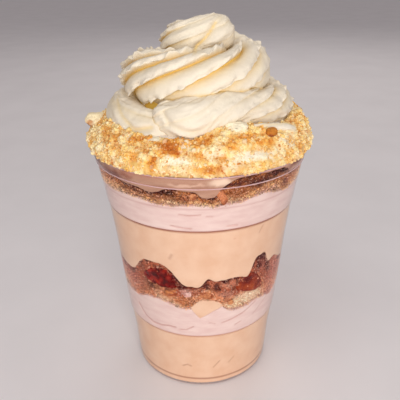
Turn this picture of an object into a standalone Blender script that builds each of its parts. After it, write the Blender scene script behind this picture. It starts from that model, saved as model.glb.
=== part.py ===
"""Banana pudding layered in a clear cup, with a crumbed cream mound and a piped swirl on top.

All lengths below are in millimetres and all angles in degrees. MM turns a length into metres
where a mesh is made. The origin is the middle of the cup's underside, the front faces -Y, and
a bearing is measured from the front towards +X. Touching pieces keep a gap of GAP.
"""
import bmesh
import bpy
import numpy as np

MM = 0.001
GAP = 0.3

# ---- The cup -------------------------------------------------------------------------------
CUP_HEIGHT = 118.0
CUP_WALL = 0.6
CUP_STEPS = 36
FOOT_INNER = 30.0
RECESS_RADIUS = 28.8
RECESS_DEPTH = 3.0
FLOOR_TOP = 3.7
RIM_RADIUS = 49.0
# Height and outer radius: foot, body, the three stacking steps and the neck under the rim.
CUP_STATIONS = (
    (0.0, 32.2), (0.8, 32.9), (6.0, 33.4), (20.0, 34.5), (31.2, 36.0), (32.6, 36.6),
    (55.0, 39.0), (70.0, 40.4), (88.3, 42.6), (89.6, 43.2), (99.4, 44.8), (100.4, 45.1),
    (108.8, 46.5), (111.0, 47.5), (114.4, 47.9),
)
# The rolled rim, as steps out from RIM_RADIUS and down from CUP_HEIGHT.
RIM_ROLL = ((-0.7, 3.2), (0.0, 2.4), (0.0, 0.8), (-0.6, 0.0), (-1.3, 0.0), (-1.7, 0.7))

# ---- The layers ----------------------------------------------------------------------------
# How far below its own height a layer reads the cup's wall, so it bridges the small steps.
STEP_BRIDGE = 1.2
FRONT_ANGLE = 60.0
FRONT_STEP = 5.0
BACK_STEP = 10.0
# How much of a boundary's waviness at the wall is left at each fraction of the radius.
RING_WAVES = ((1.0, 1.0), (0.82, 0.8), (0.5, 0.35))
# A boundary is its level and its bumps: bearing, half width, height and squareness (2 is a
# bell, more is flat-topped, less is a spike).
PUDDING_BOTTOM = (4.3, ())
CREAM_LOWER_BOTTOM = (31.5, ())
CRUMB_LOWER_BOTTOM = (48.0, (
    (-32, 13, 3.0, 2), (5, 10, 4.5, 4), (28, 15, -2.0, 2), (60, 12, -3.5, 2), (108, 20, 3.5, 2),
    (152, 18, -3.0, 2), (-170, 14, 3.0, 2), (-128, 16, -2.5, 2), (-92, 14, 2.5, 2),
))
PUDDING_MIDDLE_BOTTOM = (61.3, (
    (-31, 15, 9.2, 4), (-6, 8, -1.3, 4), (4, 3, 3.0, 2), (18, 11, 1.7, 4), (40, 7, 9.8, 4),
    (54, 8, 5.0, 2), (97, 15, 5.5, 3), (133, 15, -2.0, 2), (172, 13, 7.0, 4),
    (-146, 14, -2.0, 2), (-110, 15, 6.5, 3),
))
CREAM_MIDDLE_BOTTOM = (88.5, ())
CRUMB_UPPER_BOTTOM = (101.4, (
    (-38, 13, 0.8, 2), (34, 11, 2.4, 2), (98, 18, 1.8, 2), (146, 16, -1.0, 2),
    (-165, 17, 2.2, 2), (-112, 18, -0.8, 2),
))
CREAM_CAP_BOTTOM = (107.4, (
    (-50, 7, 1.3, 2), (-25, 5, -1.6, 2), (-15, 5, 1.0, 2), (4, 5, -2.8, 4), (31, 20, 5.2, 8),
    (84, 16, 2.0, 2), (120, 12, -1.8, 2), (160, 18, 3.6, 4), (-140, 16, -1.6, 2),
    (-98, 14, 2.2, 2),
))
# Lenses let into the top of a layer: first and last bearing, deepest point and squareness.
PUDDING_POCKET = (-12.0, 16.0, 9.0, 1.6)
JAM_POCKET = (-44.0, -12.0, 10.0, 4.0)
CARAMEL_POCKET = (22.0, 48.0, 10.0, 3.0)
POCKET_RIM = 0.7
POCKET_REACH = 0.5

# ---- The mound, its crumb coat and the lump on it --------------------------------------------
# Heights of the cream's rings up the cup's neck, and the mound's radius and height above it.
NECK_HEIGHTS = (112.9, 114.8, 117.0)
MOUND = (
    (0.0, 128.0), (30.0, 127.6), (38.0, 126.3), (42.0, 124.3), (45.3, 121.6), (47.0, 118.9),
)
MOUND_RISE = 2.0
MOUND_RISE_BEARING = 88.0
MOUND_RISE_WIDTH = 34.0
COAT_THICKNESS = 1.5
COAT_INNER = 38.6
COAT_RADIUS = 51.0
COAT_HEM = 114.6
COAT_OVER_RIM = 0.5
COAT_ROUGHNESS = 0.7
LUMP_CENTRE = (-45.4, -3.0, 124.6)
LUMP_HALF_SIZE = (4.6, 4.4, 3.0)
# Radii and heights of the coat under the lump, and how far clear of it the lump lies.
LUMP_BED = ((41.0, 127.7), (43.9, 126.1), (47.9, 121.2), (50.2, 119.9), (51.0, 118.4))
RESTING_GAP = GAP + 0.2

# ---- The piped swirl -------------------------------------------------------------------------
SWIRL_COLUMNS = 54
SWIRL_ROWS = 20
SWIRL_HEART = 128.4
SWIRL_FOOT = 37.6
SWIRL_FLOOR_SHARE = 0.75
PATH_STEP = 4.0
STAR_POINTS = 8
STAR_START = 29.2
STAR_DEPTH = 0.2
STAR_SKEW = 0.5
TWIST_PER_MM = 3.6
# Turn angle from +X, ring radius, height of the rope's middle and the rope's radius. The heart
# is the cream that the turns close round.
FIRST_TURN = (
    (118, 29.0, 126.5, 6.5), (150, 31.5, 127.5, 8.5), (195, 32.0, 127.2, 8.6), (240, 31.0, 126.2, 7.0),
)
MAIN_TURNS = (
    (249, 30.0, 131.4, 7.6), (263, 30.8, 131.8, 8.8), (279, 28.8, 133.0, 8.3), (302, 27.2, 133.4, 8.2),
    (332, 29.6, 131.0, 8.8), (360, 32.3, 129.3, 9.3), (405, 30.2, 132.0, 9.8), (450, 27.5, 136.2, 10.4),
    (495, 25.0, 139.8, 10.9), (540, 22.8, 142.6, 11.2), (585, 20.8, 144.3, 11.5), (630, 19.5, 144.9, 11.8),
    (675, 19.3, 145.6, 11.4), (720, 19.8, 146.4, 10.6), (765, 17.5, 149.3, 9.8), (810, 13.5, 152.5, 9.0),
    (855, 10.5, 154.8, 8.7), (900, 7.6, 156.6, 8.4), (945, 6.0, 158.0, 8.3), (990, 5.0, 159.2, 8.3),
    (1035, 6.2, 159.9, 8.3), (1058, 7.6, 160.0, 8.1),
)
HEART = ((0, 0.0, 140.0, 18.0), (90, 0.0, 150.0, 13.5), (180, 0.0, 156.0, 10.0))


def fresh_collection(name):
    """Clears the scene and returns an empty collection for the object's parts."""
    for item in list(bpy.data.objects):
        bpy.data.objects.remove(item, do_unlink=True)
    collection = bpy.data.collections.new(name)
    bpy.context.scene.collection.children.link(collection)
    return collection


def finish(name, color, roughness, alpha=1.0):
    """A plain Principled material in linear colour."""
    material = bpy.data.materials.new(name)
    material.use_nodes = True
    shader = material.node_tree.nodes["Principled BSDF"]
    shader.inputs["Base Color"].default_value = (*color, 1.0)
    shader.inputs["Roughness"].default_value = roughness
    shader.inputs["Metallic"].default_value = 0.0
    shader.inputs["Alpha"].default_value = alpha
    return material


def place(name, mesh, material):
    """Puts a mesh into the scene as one smooth-shaded part."""
    mesh.materials.append(material)
    mesh.shade_smooth()
    mesh.set_sharp_from_angle(angle=np.radians(40.0))
    part = bpy.data.objects.new(name, mesh)
    PARTS.objects.link(part)
    return part


def wave_sum(bearings, bumps):
    """The total height of a list of bumps at each bearing, counted the short way round."""
    total = np.zeros_like(bearings)
    for centre, half_width, height, squareness in bumps:
        away = (bearings - centre + 180.0) % 360.0 - 180.0
        total += height * np.exp(-np.abs(away / half_width) ** squareness)
    return total


def cup_radius(height):
    """Outer radius of the cup's wall at a height."""
    stations = np.array(CUP_STATIONS)
    return np.interp(height, stations[:, 0], stations[:, 1])


def filling_radius(height):
    """Radius of the food at a height: inside the wall, and bridging its small steps."""
    return cup_radius(np.asarray(height) - STEP_BRIDGE) - CUP_WALL - GAP


def bearings_round():
    """Bearings of the food's columns: close together at the front and wider behind."""
    front = np.arange(-FRONT_ANGLE, FRONT_ANGLE + 0.1, FRONT_STEP)
    back = np.arange(FRONT_ANGLE + BACK_STEP, 360.0 - FRONT_ANGLE - 0.1, BACK_STEP)
    return np.concatenate([front, back])


BEARINGS = bearings_round()


def ring(radius, height):
    """One ring of points, from a radius and a height that may each vary round it."""
    turn = np.radians(BEARINGS)
    radius = np.broadcast_to(radius, turn.shape)
    height = np.broadcast_to(height, turn.shape)
    return np.stack([radius * np.sin(turn), -radius * np.cos(turn), height], axis=1)


def band(first, second, count, shut, flip):
    """Triangles between two rows of points, with the diagonal that flip asks for."""
    triangles = []
    for column in range(count if shut else count - 1):
        after = (column + 1) % count
        near = (first + column, first + after)
        far = (second + column, second + after)
        if flip:
            triangles += [(near[0], near[1], far[0]), (near[1], far[1], far[0])]
        else:
            triangles += [(near[0], near[1], far[1]), (near[0], far[1], far[0])]
    return triangles


def mesh_of(name, points, triangles):
    mesh = bpy.data.meshes.new(name)
    mesh.from_pydata((np.asarray(points) * MM).tolist(), [], triangles)
    mesh.validate()
    edit = bmesh.new()
    edit.from_mesh(mesh)
    bmesh.ops.recalc_face_normals(edit, faces=edit.faces)
    edit.to_mesh(mesh)
    edit.free()
    return mesh


def loft(name, rings, material, poles=True):
    """Lofts a closed body through rings, shut by a pole at each end or by joining last to first.

    Where two rings lie on a boundary, the diagonal runs from the wider ring's point to the next
    point of the narrower one, so both faces of a boundary are cut into the same triangles.
    """
    count = len(rings[0])
    points = np.concatenate(rings)
    triangles = []
    pairs = list(zip(range(len(rings) - 1), range(1, len(rings))))
    if not poles:
        pairs.append((len(rings) - 1, 0))
    for low, high in pairs:
        widens = np.hypot(*rings[high][:, :2].T).mean() > np.hypot(*rings[low][:, :2].T).mean()
        triangles += band(low * count, high * count, count, True, widens)
    if poles:
        for index, end in ((0, rings[0]), (len(rings) - 1, rings[-1])):
            pole = len(points)
            points = np.vstack([points, [0.0, 0.0, end[:, 2].mean()]])
            start = index * count
            triangles += [(start + i, start + (i + 1) % count, pole) for i in range(count)]
    return place(name, mesh_of(name, points, triangles), material)


def boundary(surface, wave):
    """Height of a boundary round a ring where a share of its waves is left."""
    level, bumps = surface
    return level + wave * wave_sum(BEARINGS, bumps)


def pocket_depth(pocket, fraction):
    """Depth of a lens under its boundary: round between its bearings, shallower inward."""
    first, last, deepest, squareness = pocket
    bearings = (BEARINGS + 180.0) % 360.0 - 180.0
    across = np.abs((bearings - (first + last) / 2.0) / ((last - first) / 2.0))
    inward = (1.0 - fraction) / (1.0 - POCKET_REACH)
    shape = np.clip(1.0 - across**squareness, 0.0, None) * max(1.0 - inward**2, 0.0)
    inside = (bearings > first - 0.1) & (bearings < last + 0.1) & (fraction > POCKET_REACH - 0.01)
    return np.where(inside, POCKET_RIM + (deepest - POCKET_RIM) * shape, 0.0)


def boundary_rings(surface, side, pockets=()):
    """The rings of one boundary from the wall inward, half a gap above (1) or below (-1) it.

    The outermost ring lies on the filling's radius at its own height.
    """
    flat = not surface[1]
    rings = []
    for fraction, wave in RING_WAVES[:1] if flat else RING_WAVES:
        height = boundary(surface, wave) + side * GAP / 2.0
        for pocket in pockets:
            height = height - pocket_depth(pocket, fraction)
        rings.append(ring(filling_radius(boundary(surface, 1.0)) * fraction, height))
    rings[0] = ring(filling_radius(rings[0][:, 2]), rings[0][:, 2])
    return rings


def side_rings(low, high, shares):
    """Rings up the wall between a lower and an upper ring."""
    rings = []
    for share in shares:
        height = low[:, 2] + share * (high[:, 2] - low[:, 2])
        rings.append(ring(filling_radius(height), height))
    return rings


def layer(name, bottom, top, shares, material, pockets=()):
    """A layer of food from its bottom boundary up to its top one, out to the wall."""
    low = boundary_rings(bottom, 1)
    high = boundary_rings(top, -1, pockets)
    return loft(name, low[::-1] + side_rings(low[0], high[0], shares) + high, material)


def lens(name, surface, pocket, material):
    """A pocket of filling under a boundary: a patch of the same columns and rings, closed."""
    first, last = pocket[:2]
    bearings = (BEARINGS + 180.0) % 360.0 - 180.0
    columns = np.flatnonzero((bearings > first - 0.1) & (bearings < last + 0.1))
    columns = columns[np.argsort(bearings[columns])]
    above = [points[columns] for points in boundary_rings(surface, -1)]
    below = [points[columns] for points in boundary_rings(surface, 1, (pocket,))]
    rows = above + below[::-1]
    count = len(columns)
    points = np.concatenate(rows)
    triangles = []
    for low in range(len(rows)):
        high = (low + 1) % len(rows)
        triangles += band(low * count, high * count, count, False, low >= len(above))
    for end in (0, count - 1):
        for low in range(len(above) - 1):
            far = len(rows) - 1 - low
            corner = [low * count + end, (low + 1) * count + end]
            other = [far * count + end, (far - 1) * count + end]
            triangles += [(corner[0], corner[1], other[1]), (corner[0], other[1], other[0])]
    return place(name, mesh_of(name, points, triangles), material)


def mound_height(radius, bearings):
    """Height of the cream mound, whose shoulder stands higher on its right-hand side."""
    table = np.array(MOUND)
    away = (bearings - MOUND_RISE_BEARING + 180.0) % 360.0 - 180.0
    rise = MOUND_RISE * np.exp(-((away / MOUND_RISE_WIDTH) ** 2))
    share = np.clip(np.interp(radius, (38.5, 43.0, 46.0, 49.0), (0.0, 1.0, 1.0, 0.0)), 0.0, 1.0)
    return np.interp(radius, table[:, 0], table[:, 1]) + rise * share


def make_cup(material):
    """The clear cup, turned from one profile: floor, inner wall, rolled rim, outer wall, foot."""
    stations = [(radius, height) for height, radius in CUP_STATIONS]
    inner = [(radius - CUP_WALL, height) for radius, height in stations if height > FLOOR_TOP]
    profile = [(0.0, FLOOR_TOP), (float(cup_radius(FLOOR_TOP)) - CUP_WALL, FLOOR_TOP)] + inner
    profile += [(RIM_RADIUS + out, CUP_HEIGHT - down) for out, down in reversed(RIM_ROLL)]
    profile += stations[::-1]
    profile += [(FOOT_INNER, 0.0), (RECESS_RADIUS, RECESS_DEPTH), (0.0, RECESS_DEPTH)]
    mesh = bpy.data.meshes.new("cup")
    points = [(radius * MM, 0.0, height * MM) for radius, height in profile]
    mesh.from_pydata(points, [(i, i + 1) for i in range(len(points) - 1)], [])
    cup = place("cup", mesh, material)
    turn = cup.modifiers.new("Turned", "SCREW")
    turn.steps = CUP_STEPS
    turn.render_steps = CUP_STEPS
    turn.use_merge_vertices = True
    turn.merge_threshold = 0.00001
    return cup


def make_cream_cap(material):
    """The cream from the upper crumbs to the mound's top, filling the cup's neck."""
    bottom = boundary_rings(CREAM_CAP_BOTTOM, 1)
    wall = [ring(filling_radius(h), h) for h in NECK_HEIGHTS]
    wall[0][:, 2] = np.maximum(wall[0][:, 2], bottom[0][:, 2] + 0.5)
    dome = [ring(radius, mound_height(radius, BEARINGS)) for radius, _ in MOUND[4:0:-1]]
    return loft("cream_cap", bottom[::-1] + wall + dome, material)


def coat_waves(seed, amplitude):
    """A smooth uneven depth round the coat that dies out at the four quarter points."""
    chance = np.random.default_rng(seed)
    turn = np.radians(BEARINGS)
    total = np.zeros_like(turn)
    for count in (3, 5, 8, 11):
        total += np.cos(count * turn + chance.uniform(0.0, 2.0 * np.pi)) / 4.0
    return amplitude * (total + 1.0) * np.abs(np.sin(2.0 * turn)) ** 0.7


def coat_profile():
    """Rings of the crumb coat: up its inner face over the mound and rim, then down outside."""
    over = CUP_HEIGHT + COAT_OVER_RIM
    inner = [(r, mound_height(r, BEARINGS) + GAP) for r in (COAT_INNER, 42.0, 45.3)]
    inner += [(47.2, over + 0.8), (RIM_RADIUS + COAT_OVER_RIM, over), (RIM_RADIUS + COAT_OVER_RIM, COAT_HEM)]
    outer = [
        (COAT_RADIUS - 0.4 - coat_waves(3, 0.4), COAT_HEM - 0.2),
        (COAT_RADIUS - coat_waves(7, COAT_ROUGHNESS), 117.0),
        (COAT_RADIUS - 0.8 - coat_waves(5, COAT_ROUGHNESS), 119.8),
    ]
    for radius, out, seed in ((47.2, 0.7, 11), (43.4, 0.5, 13), (40.6, 0.3, 17)):
        height = mound_height(radius, BEARINGS) + GAP + COAT_THICKNESS + out
        outer.append((radius + out, height - coat_waves(seed, COAT_ROUGHNESS)))
    return inner, outer


def make_crumb_coat(material):
    """The crust of crumbs over the mound's shoulder and down over the cup's rim."""
    inner, outer = coat_profile()
    return loft("crumb_coat", [ring(r, h) for r, h in inner + outer], material, poles=False)


def make_cookie_lump(material):
    """A lump of cookie resting on the coat: a ball with a flat-sided, uneven face."""
    edit = bmesh.new()
    bmesh.ops.create_icosphere(edit, subdivisions=2, radius=1.0)
    for corner in edit.verts:
        x, y, z = corner.co
        swell = 1.0 + 0.10 * np.cos(3.0 * x + 2.0 * y) + 0.07 * np.cos(5.0 * z - 4.0 * x)
        spot = [c + h * swell * v for c, h, v in zip(LUMP_CENTRE, LUMP_HALF_SIZE, (x, y, z))]
        radius = np.hypot(spot[0], spot[1])
        bed = np.interp(radius, *zip(*LUMP_BED))
        spot[2] = max(spot[2], bed + RESTING_GAP)
        corner.co = [value * MM for value in spot]
    bmesh.ops.recalc_face_normals(edit, faces=edit.faces)
    mesh = bpy.data.meshes.new("cookie_lump")
    edit.to_mesh(mesh)
    edit.free()
    return place("cookie_lump", mesh, material)


def smooth_table(table, at):
    """Each column of a table read at new first-column values, by cubics with matched slopes."""
    knots = np.array(table, dtype=float)
    x, y = knots[:, 0], knots[:, 1:]
    slopes = np.gradient(y, x, axis=0)
    index = np.clip(np.searchsorted(x, at, side="right") - 1, 0, len(x) - 2)
    span = (x[index + 1] - x[index])[:, None]
    t = (at - x[index])[:, None] / span
    start = y[index] * (1 + 2 * t) * (1 - t) ** 2 + slopes[index] * span * t * (1 - t) ** 2
    end = y[index + 1] * t**2 * (3 - 2 * t) - slopes[index + 1] * span * t**2 * (1 - t)
    return start + end


def rope(table):
    """Middles, radii, outward directions and lengths along a piped rope."""
    turn = np.arange(table[0][0], table[-1][0] + 0.1, PATH_STEP)
    ring_radius, height, radius = smooth_table(table, turn).T
    out = np.stack([np.cos(np.radians(turn)), np.sin(np.radians(turn))], axis=1)
    middle = np.column_stack([out * ring_radius[:, None], height])
    steps = np.linalg.norm(np.diff(middle, axis=0), axis=1)
    return middle, radius, out, np.concatenate([[0.0], np.cumsum(steps)])


def star_height(angle, length):
    """0 to 1 across each rib of the star-tipped rope: a quick rise and a slow fall."""
    phase = (STAR_POINTS * (angle - STAR_START - TWIST_PER_MM * length) / 360.0) % 1.0
    return np.sin(np.pi * phase**STAR_SKEW)


def swirl_reach(directions):
    """Distance from the swirl's heart to its skin along each direction.

    The skin is the farthest point that the ray meets on any ball of the ropes, let in there by
    the grooves of the star tip.
    """
    heart = np.array([0.0, 0.0, SWIRL_HEART])
    parts = [rope(table) for table in (FIRST_TURN, MAIN_TURNS, HEART)]
    middle, radius, out, length = (np.concatenate(column) for column in zip(*parts))
    offset = middle - heart
    along = directions @ offset.T
    inside = along**2 - (offset**2).sum(axis=1) + radius**2
    reach = np.where(inside > 0.0, along + np.sqrt(np.clip(inside, 0.0, None)), 0.0)
    nearest = reach.argmax(axis=1)
    distance = reach[np.arange(len(directions)), nearest]
    arm = directions * distance[:, None] - offset[nearest]
    angle = np.degrees(np.arctan2(arm[:, 2], (arm[:, :2] * out[nearest]).sum(axis=1)))
    groove = 1.0 - star_height(angle, length[nearest])
    return distance - STAR_DEPTH * radius[nearest] * groove


def make_piped_swirl(material):
    """The swirl as one body: rows of rays from its heart, from level up to its tip."""
    turns = np.radians(np.arange(SWIRL_COLUMNS) * 360.0 / SWIRL_COLUMNS)
    rows = []
    for lift in np.linspace(3.0, 87.0, SWIRL_ROWS):
        level = np.cos(np.radians(lift))
        directions = np.column_stack([level * np.cos(turns), level * np.sin(turns),
                                      np.full(SWIRL_COLUMNS, np.sin(np.radians(lift)))])
        rows.append(directions * swirl_reach(directions)[:, None] + [0.0, 0.0, SWIRL_HEART])
    bearings = np.degrees(turns) + 90.0
    foot = np.column_stack([SWIRL_FOOT * np.cos(turns), SWIRL_FOOT * np.sin(turns),
                            mound_height(SWIRL_FOOT, bearings) + RESTING_GAP])
    middle = foot * [SWIRL_FLOOR_SHARE, SWIRL_FLOOR_SHARE, 1.0]
    middle[:, 2] = SWIRL_HEART
    return loft("piped_swirl", [middle, foot] + rows, material)


PARTS = fresh_collection("banana_pudding")
CLEAR = finish("clear_plastic", (0.90, 0.90, 0.92), 0.08, 0.3)
PUDDING = finish("vanilla_pudding", (0.90, 0.60, 0.36), 0.45)
CREAM = finish("whipped_cream", (0.93, 0.88, 0.78), 0.50)
CRUMBS = finish("cookie_crumbs", (0.72, 0.42, 0.16), 0.80)
SOAKED = finish("soaked_crumbs", (0.45, 0.22, 0.09), 0.60)
JAM = finish("red_jam", (0.22, 0.01, 0.01), 0.15)
CARAMEL = finish("caramel", (0.38, 0.09, 0.02), 0.20)

make_cup(CLEAR)
layer("pudding_lower", PUDDING_BOTTOM, CREAM_LOWER_BOTTOM, (0.33, 0.67), PUDDING)
layer("cream_lower", CREAM_LOWER_BOTTOM, CRUMB_LOWER_BOTTOM, (0.35,), CREAM, (PUDDING_POCKET,))
layer("crumb_lower", CRUMB_LOWER_BOTTOM, PUDDING_MIDDLE_BOTTOM, (0.5,), SOAKED,
      (JAM_POCKET, CARAMEL_POCKET))
layer("pudding_middle", PUDDING_MIDDLE_BOTTOM, CREAM_MIDDLE_BOTTOM, (0.33, 0.67), PUDDING)
layer("cream_middle", CREAM_MIDDLE_BOTTOM, CRUMB_UPPER_BOTTOM, (0.5,), CREAM)
layer("crumb_upper", CRUMB_UPPER_BOTTOM, CREAM_CAP_BOTTOM, (0.62,), SOAKED)
lens("pudding_pocket", CRUMB_LOWER_BOTTOM, PUDDING_POCKET, PUDDING)
lens("jam_pocket", PUDDING_MIDDLE_BOTTOM, JAM_POCKET, JAM)
lens("caramel_pocket", PUDDING_MIDDLE_BOTTOM, CARAMEL_POCKET, CARAMEL)
make_cream_cap(CREAM)
make_crumb_coat(CRUMBS)
make_cookie_lump(CRUMBS)
make_piped_swirl(CREAM)
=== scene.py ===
"""Banana pudding layered in a clear cup: the looks of every surface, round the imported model.

Lengths are in millimetres and angles in degrees; MM turns a length into metres where a mesh is
made. A bearing is measured from the front (-Y) towards +X, anticlockwise seen from above.
"""
from itertools import product

import bmesh
import bpy
import numpy as np
from mathutils import Matrix, Vector


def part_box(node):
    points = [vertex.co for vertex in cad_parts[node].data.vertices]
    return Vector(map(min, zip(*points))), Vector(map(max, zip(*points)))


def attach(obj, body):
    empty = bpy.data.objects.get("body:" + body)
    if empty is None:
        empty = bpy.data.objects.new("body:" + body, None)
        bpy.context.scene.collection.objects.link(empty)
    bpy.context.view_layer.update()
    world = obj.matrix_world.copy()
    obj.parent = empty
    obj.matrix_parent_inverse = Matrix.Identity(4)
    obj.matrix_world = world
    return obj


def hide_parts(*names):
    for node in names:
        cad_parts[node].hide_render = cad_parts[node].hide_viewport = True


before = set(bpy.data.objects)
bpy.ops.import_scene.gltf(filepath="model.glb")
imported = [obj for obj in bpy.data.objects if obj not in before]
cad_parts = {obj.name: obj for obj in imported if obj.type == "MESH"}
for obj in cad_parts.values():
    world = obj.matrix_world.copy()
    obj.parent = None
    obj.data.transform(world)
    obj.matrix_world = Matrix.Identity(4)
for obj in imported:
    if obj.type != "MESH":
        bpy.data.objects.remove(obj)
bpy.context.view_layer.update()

MM = 0.001

# ---- Measures of the cup ----
CUP_BOX = [np.array(corner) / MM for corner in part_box("cup")]
CUP_HEIGHT = CUP_BOX[1][2]
RIM_RADIUS = CUP_BOX[1][0]
FOOT_INNER = 30.0
RECESS_RADIUS = 28.8
RECESS_DEPTH = 3.0
CUP_STATIONS = np.array((    # height and outer radius, up to where the rolled rim starts
    (0.0, 32.2), (0.8, 32.9), (6.0, 33.4), (20.0, 34.5), (31.2, 36.0), (32.6, 36.6),
    (55.0, 39.0), (70.0, 40.4), (88.3, 42.6), (89.6, 43.2), (99.4, 44.8), (100.4, 45.1),
    (108.8, 46.5), (111.0, 47.5), (114.4, 47.9),
))
FOOT_OUTLINE = np.array((    # radius and height, from the recess out to the wall
    (RECESS_RADIUS * 0.5, RECESS_DEPTH), (RECESS_RADIUS, RECESS_DEPTH),
    (RECESS_RADIUS + 0.6, RECESS_DEPTH - 1.2), (FOOT_INNER, 0.15), (FOOT_INNER + 0.4, 0.0),
    (31.9, 0.0), (32.3, 0.15),
))
FLOOR_OUTLINE = np.array(((32.4, 3.5), (32.0, 3.5), (20.0, 3.5), (1.0, 3.5)))
INNER_FOOT = 4.0      # the wall's inner face ends here, just over the floor
WALL_STEP = 0.6
SKIN_WINDOW = np.linspace(-0.45, 0.45, 7)
LIP_RINGS = ((109.1, 0.24), (114.0, 0.3))    # height, and radius of the ring's own section
LIP_RING_STAND = 0.05                        # from the cup's skin out to that section's middle
BEAD_RADIUS = 1.15    # half width of the rolled rim
BEAD_RISE = 1.75      # half height of the rolled rim
SHELL = 0.45          # thickness of the wall
REACH = 0.25          # how far the filling's skin lies behind the cup's outer skin

# ---- Boundaries between the layers ----
# Each is a level, and bumps given by their bearing, half width, height and squareness.
CRUMB_LOWER_BOTTOM = (48.0, (
    (-32, 13, 3.0, 2), (5, 10, 4.5, 4), (28, 15, -2.0, 2), (60, 12, -3.5, 2), (108, 20, 3.5, 2),
    (152, 18, -3.0, 2), (-170, 14, 3.0, 2), (-128, 16, -2.5, 2), (-92, 14, 2.5, 2),
))
PUDDING_MIDDLE_BOTTOM = (61.3, (
    (-31, 15, 9.2, 4), (-6, 8, -1.3, 4), (4, 3, 3.0, 2), (18, 11, 1.7, 4), (40, 7, 9.8, 4),
    (54, 8, 5.0, 2), (97, 15, 5.5, 3), (133, 15, -2.0, 2), (172, 13, 7.0, 4),
    (-146, 14, -2.0, 2), (-110, 15, 6.5, 3),
))
CRUMB_UPPER_BOTTOM = (101.4, (
    (-38, 13, 0.8, 2), (34, 11, 2.4, 2), (98, 18, 1.8, 2), (146, 16, -1.0, 2),
    (-165, 17, 2.2, 2), (-112, 18, -0.8, 2),
))
CREAM_CAP_BOTTOM = (107.4, (
    (-50, 7, 1.3, 2), (-25, 5, -1.6, 2), (-15, 5, 1.0, 2), (4, 5, -2.8, 4), (31, 20, 5.2, 8),
    (84, 16, 2.0, 2), (120, 12, -1.8, 2), (160, 18, 3.6, 4), (-140, 16, -1.6, 2),
    (-98, 14, 2.2, 2),
))
PUDDING_FOOT, LOWER_STEP, UPPER_STEP = 1.2, 31.7, 88.7    # the flat boundaries, at the cup's steps

# ---- Measures of the mound and the swirl ----
MOUND = np.array((    # radius and height of the cream's top
    (0.0, 128.0), (30.0, 127.6), (38.0, 126.3), (42.0, 124.3), (45.3, 121.6), (47.0, 118.9),
))
MOUND_RISE = 2.0
MOUND_RISE_BEARING = 88.0
MOUND_RISE_WIDTH = 34.0
MOUND_RISE_SHARES = ((38.5, 43.0, 46.0, 49.0), (0.0, 1.0, 1.0, 0.0))    # radii, and shares there

# A rope's rows: its turn in degrees, the ring's radius, the height and the rope's own radius.
FIRST_TURN = (
    (118, 29.0, 126.5, 6.5), (150, 31.5, 127.5, 8.5), (195, 32.0, 127.2, 8.6),
    (240, 31.0, 126.2, 7.0),
)
MAIN_TURNS = (
    (249, 30.0, 131.4, 7.6), (263, 30.8, 131.8, 8.8), (279, 28.8, 133.0, 8.3),
    (302, 27.2, 133.4, 8.2), (332, 29.6, 131.0, 8.8), (360, 32.3, 129.3, 9.3),
    (405, 30.2, 132.0, 9.8), (450, 27.5, 136.2, 10.4), (495, 25.0, 139.8, 10.9),
    (540, 22.8, 142.6, 11.2), (585, 20.8, 144.3, 11.5), (630, 19.5, 144.9, 11.8),
    (675, 19.3, 145.6, 11.4), (720, 19.8, 146.4, 10.6), (765, 17.5, 149.3, 9.8),
    (810, 13.5, 152.5, 9.0), (855, 10.5, 154.8, 8.7), (900, 7.6, 156.6, 8.4),
    (945, 6.0, 158.0, 8.3), (990, 5.0, 159.2, 8.3), (1035, 6.2, 159.9, 8.3),
    (1058, 7.6, 160.0, 8.1),
)
RIBBON_TURN = (
    (301, 36.6, 128.0, 1.3), (310, 38.3, 128.1, 1.5), (316, 41.2, 127.7, 1.5),
    (322, 43.2, 126.9, 1.4), (327, 44.7, 125.6, 1.1),
)
# Against the turn: the depth of the main rope's grooves, and millimetres of smearing.
MAIN_DEPTHS = ((249, 290, 320, 345, 395, 880, 930, 970, 1058),
               (0.04, 0.03, 0.12, 0.26, 0.33, 0.33, 0.16, 0.06, 0.05))
MAIN_SMEARS = ((249, 330, 380, 900, 1058), (0.9, 0.9, 0.3, 0.3, 0.5))
STAR_POINTS = 8
TWIST_PER_MM = 3.6

UP = np.array((0.0, 0.0, 1.0))
WALL_PATH = 40.0      # radius of the ring along which the edges' raggedness is read
COLUMNS = 480
BEARINGS = np.arange(COLUMNS) * 360.0 / COLUMNS
FINE_BEARINGS = np.arange(900) * 0.4
CUP_BEARINGS = np.arange(192) * 360.0 / 192
ROW_STEP = 0.5


# ---- Noise and small shapes ----
# Random values and the key's multipliers for chance_at.
CHANCES = np.random.default_rng(20).uniform(-1.0, 1.0, 4096)
STRIDES = np.array((73856093, 19349663, 83492791))


def chance_at(cells, seed):
    """The random value of each whole-numbered cell, read from a shuffled table by a mixed key."""
    key = (cells * STRIDES).sum(axis=-1) + seed * 40503
    return CHANCES[(key ^ (key >> 9)) % len(CHANCES)]


def drift(points, spacing, seed):
    """Smooth noise, -1 to 1: corner values of cubes of this spacing, blended by 3t^2 - 2t^3."""
    cell = points / spacing
    corner = np.floor(cell).astype(np.int64)
    share = cell - corner
    share = share * share * (3.0 - 2.0 * share)
    total = np.zeros(points.shape[:-1])
    for step in product((0, 1), repeat=3):
        weight = np.where(step, share, 1.0 - share).prod(axis=-1)
        total += weight * chance_at(corner + np.array(step), seed)
    return total


def rough(points, spacing, seed, layers=3):
    """Noise with finer noise on it: each layer has half the spacing and half the height."""
    return sum(drift(points, spacing / 2**k, seed + k) / 2**k for k in range(layers))


def drifts(points, seed, *layers):
    """A sum of smooth noises, each given by its height and its spacing."""
    return sum(height * drift(points, spacing, seed + count)
               for count, (height, spacing) in enumerate(layers))


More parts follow.
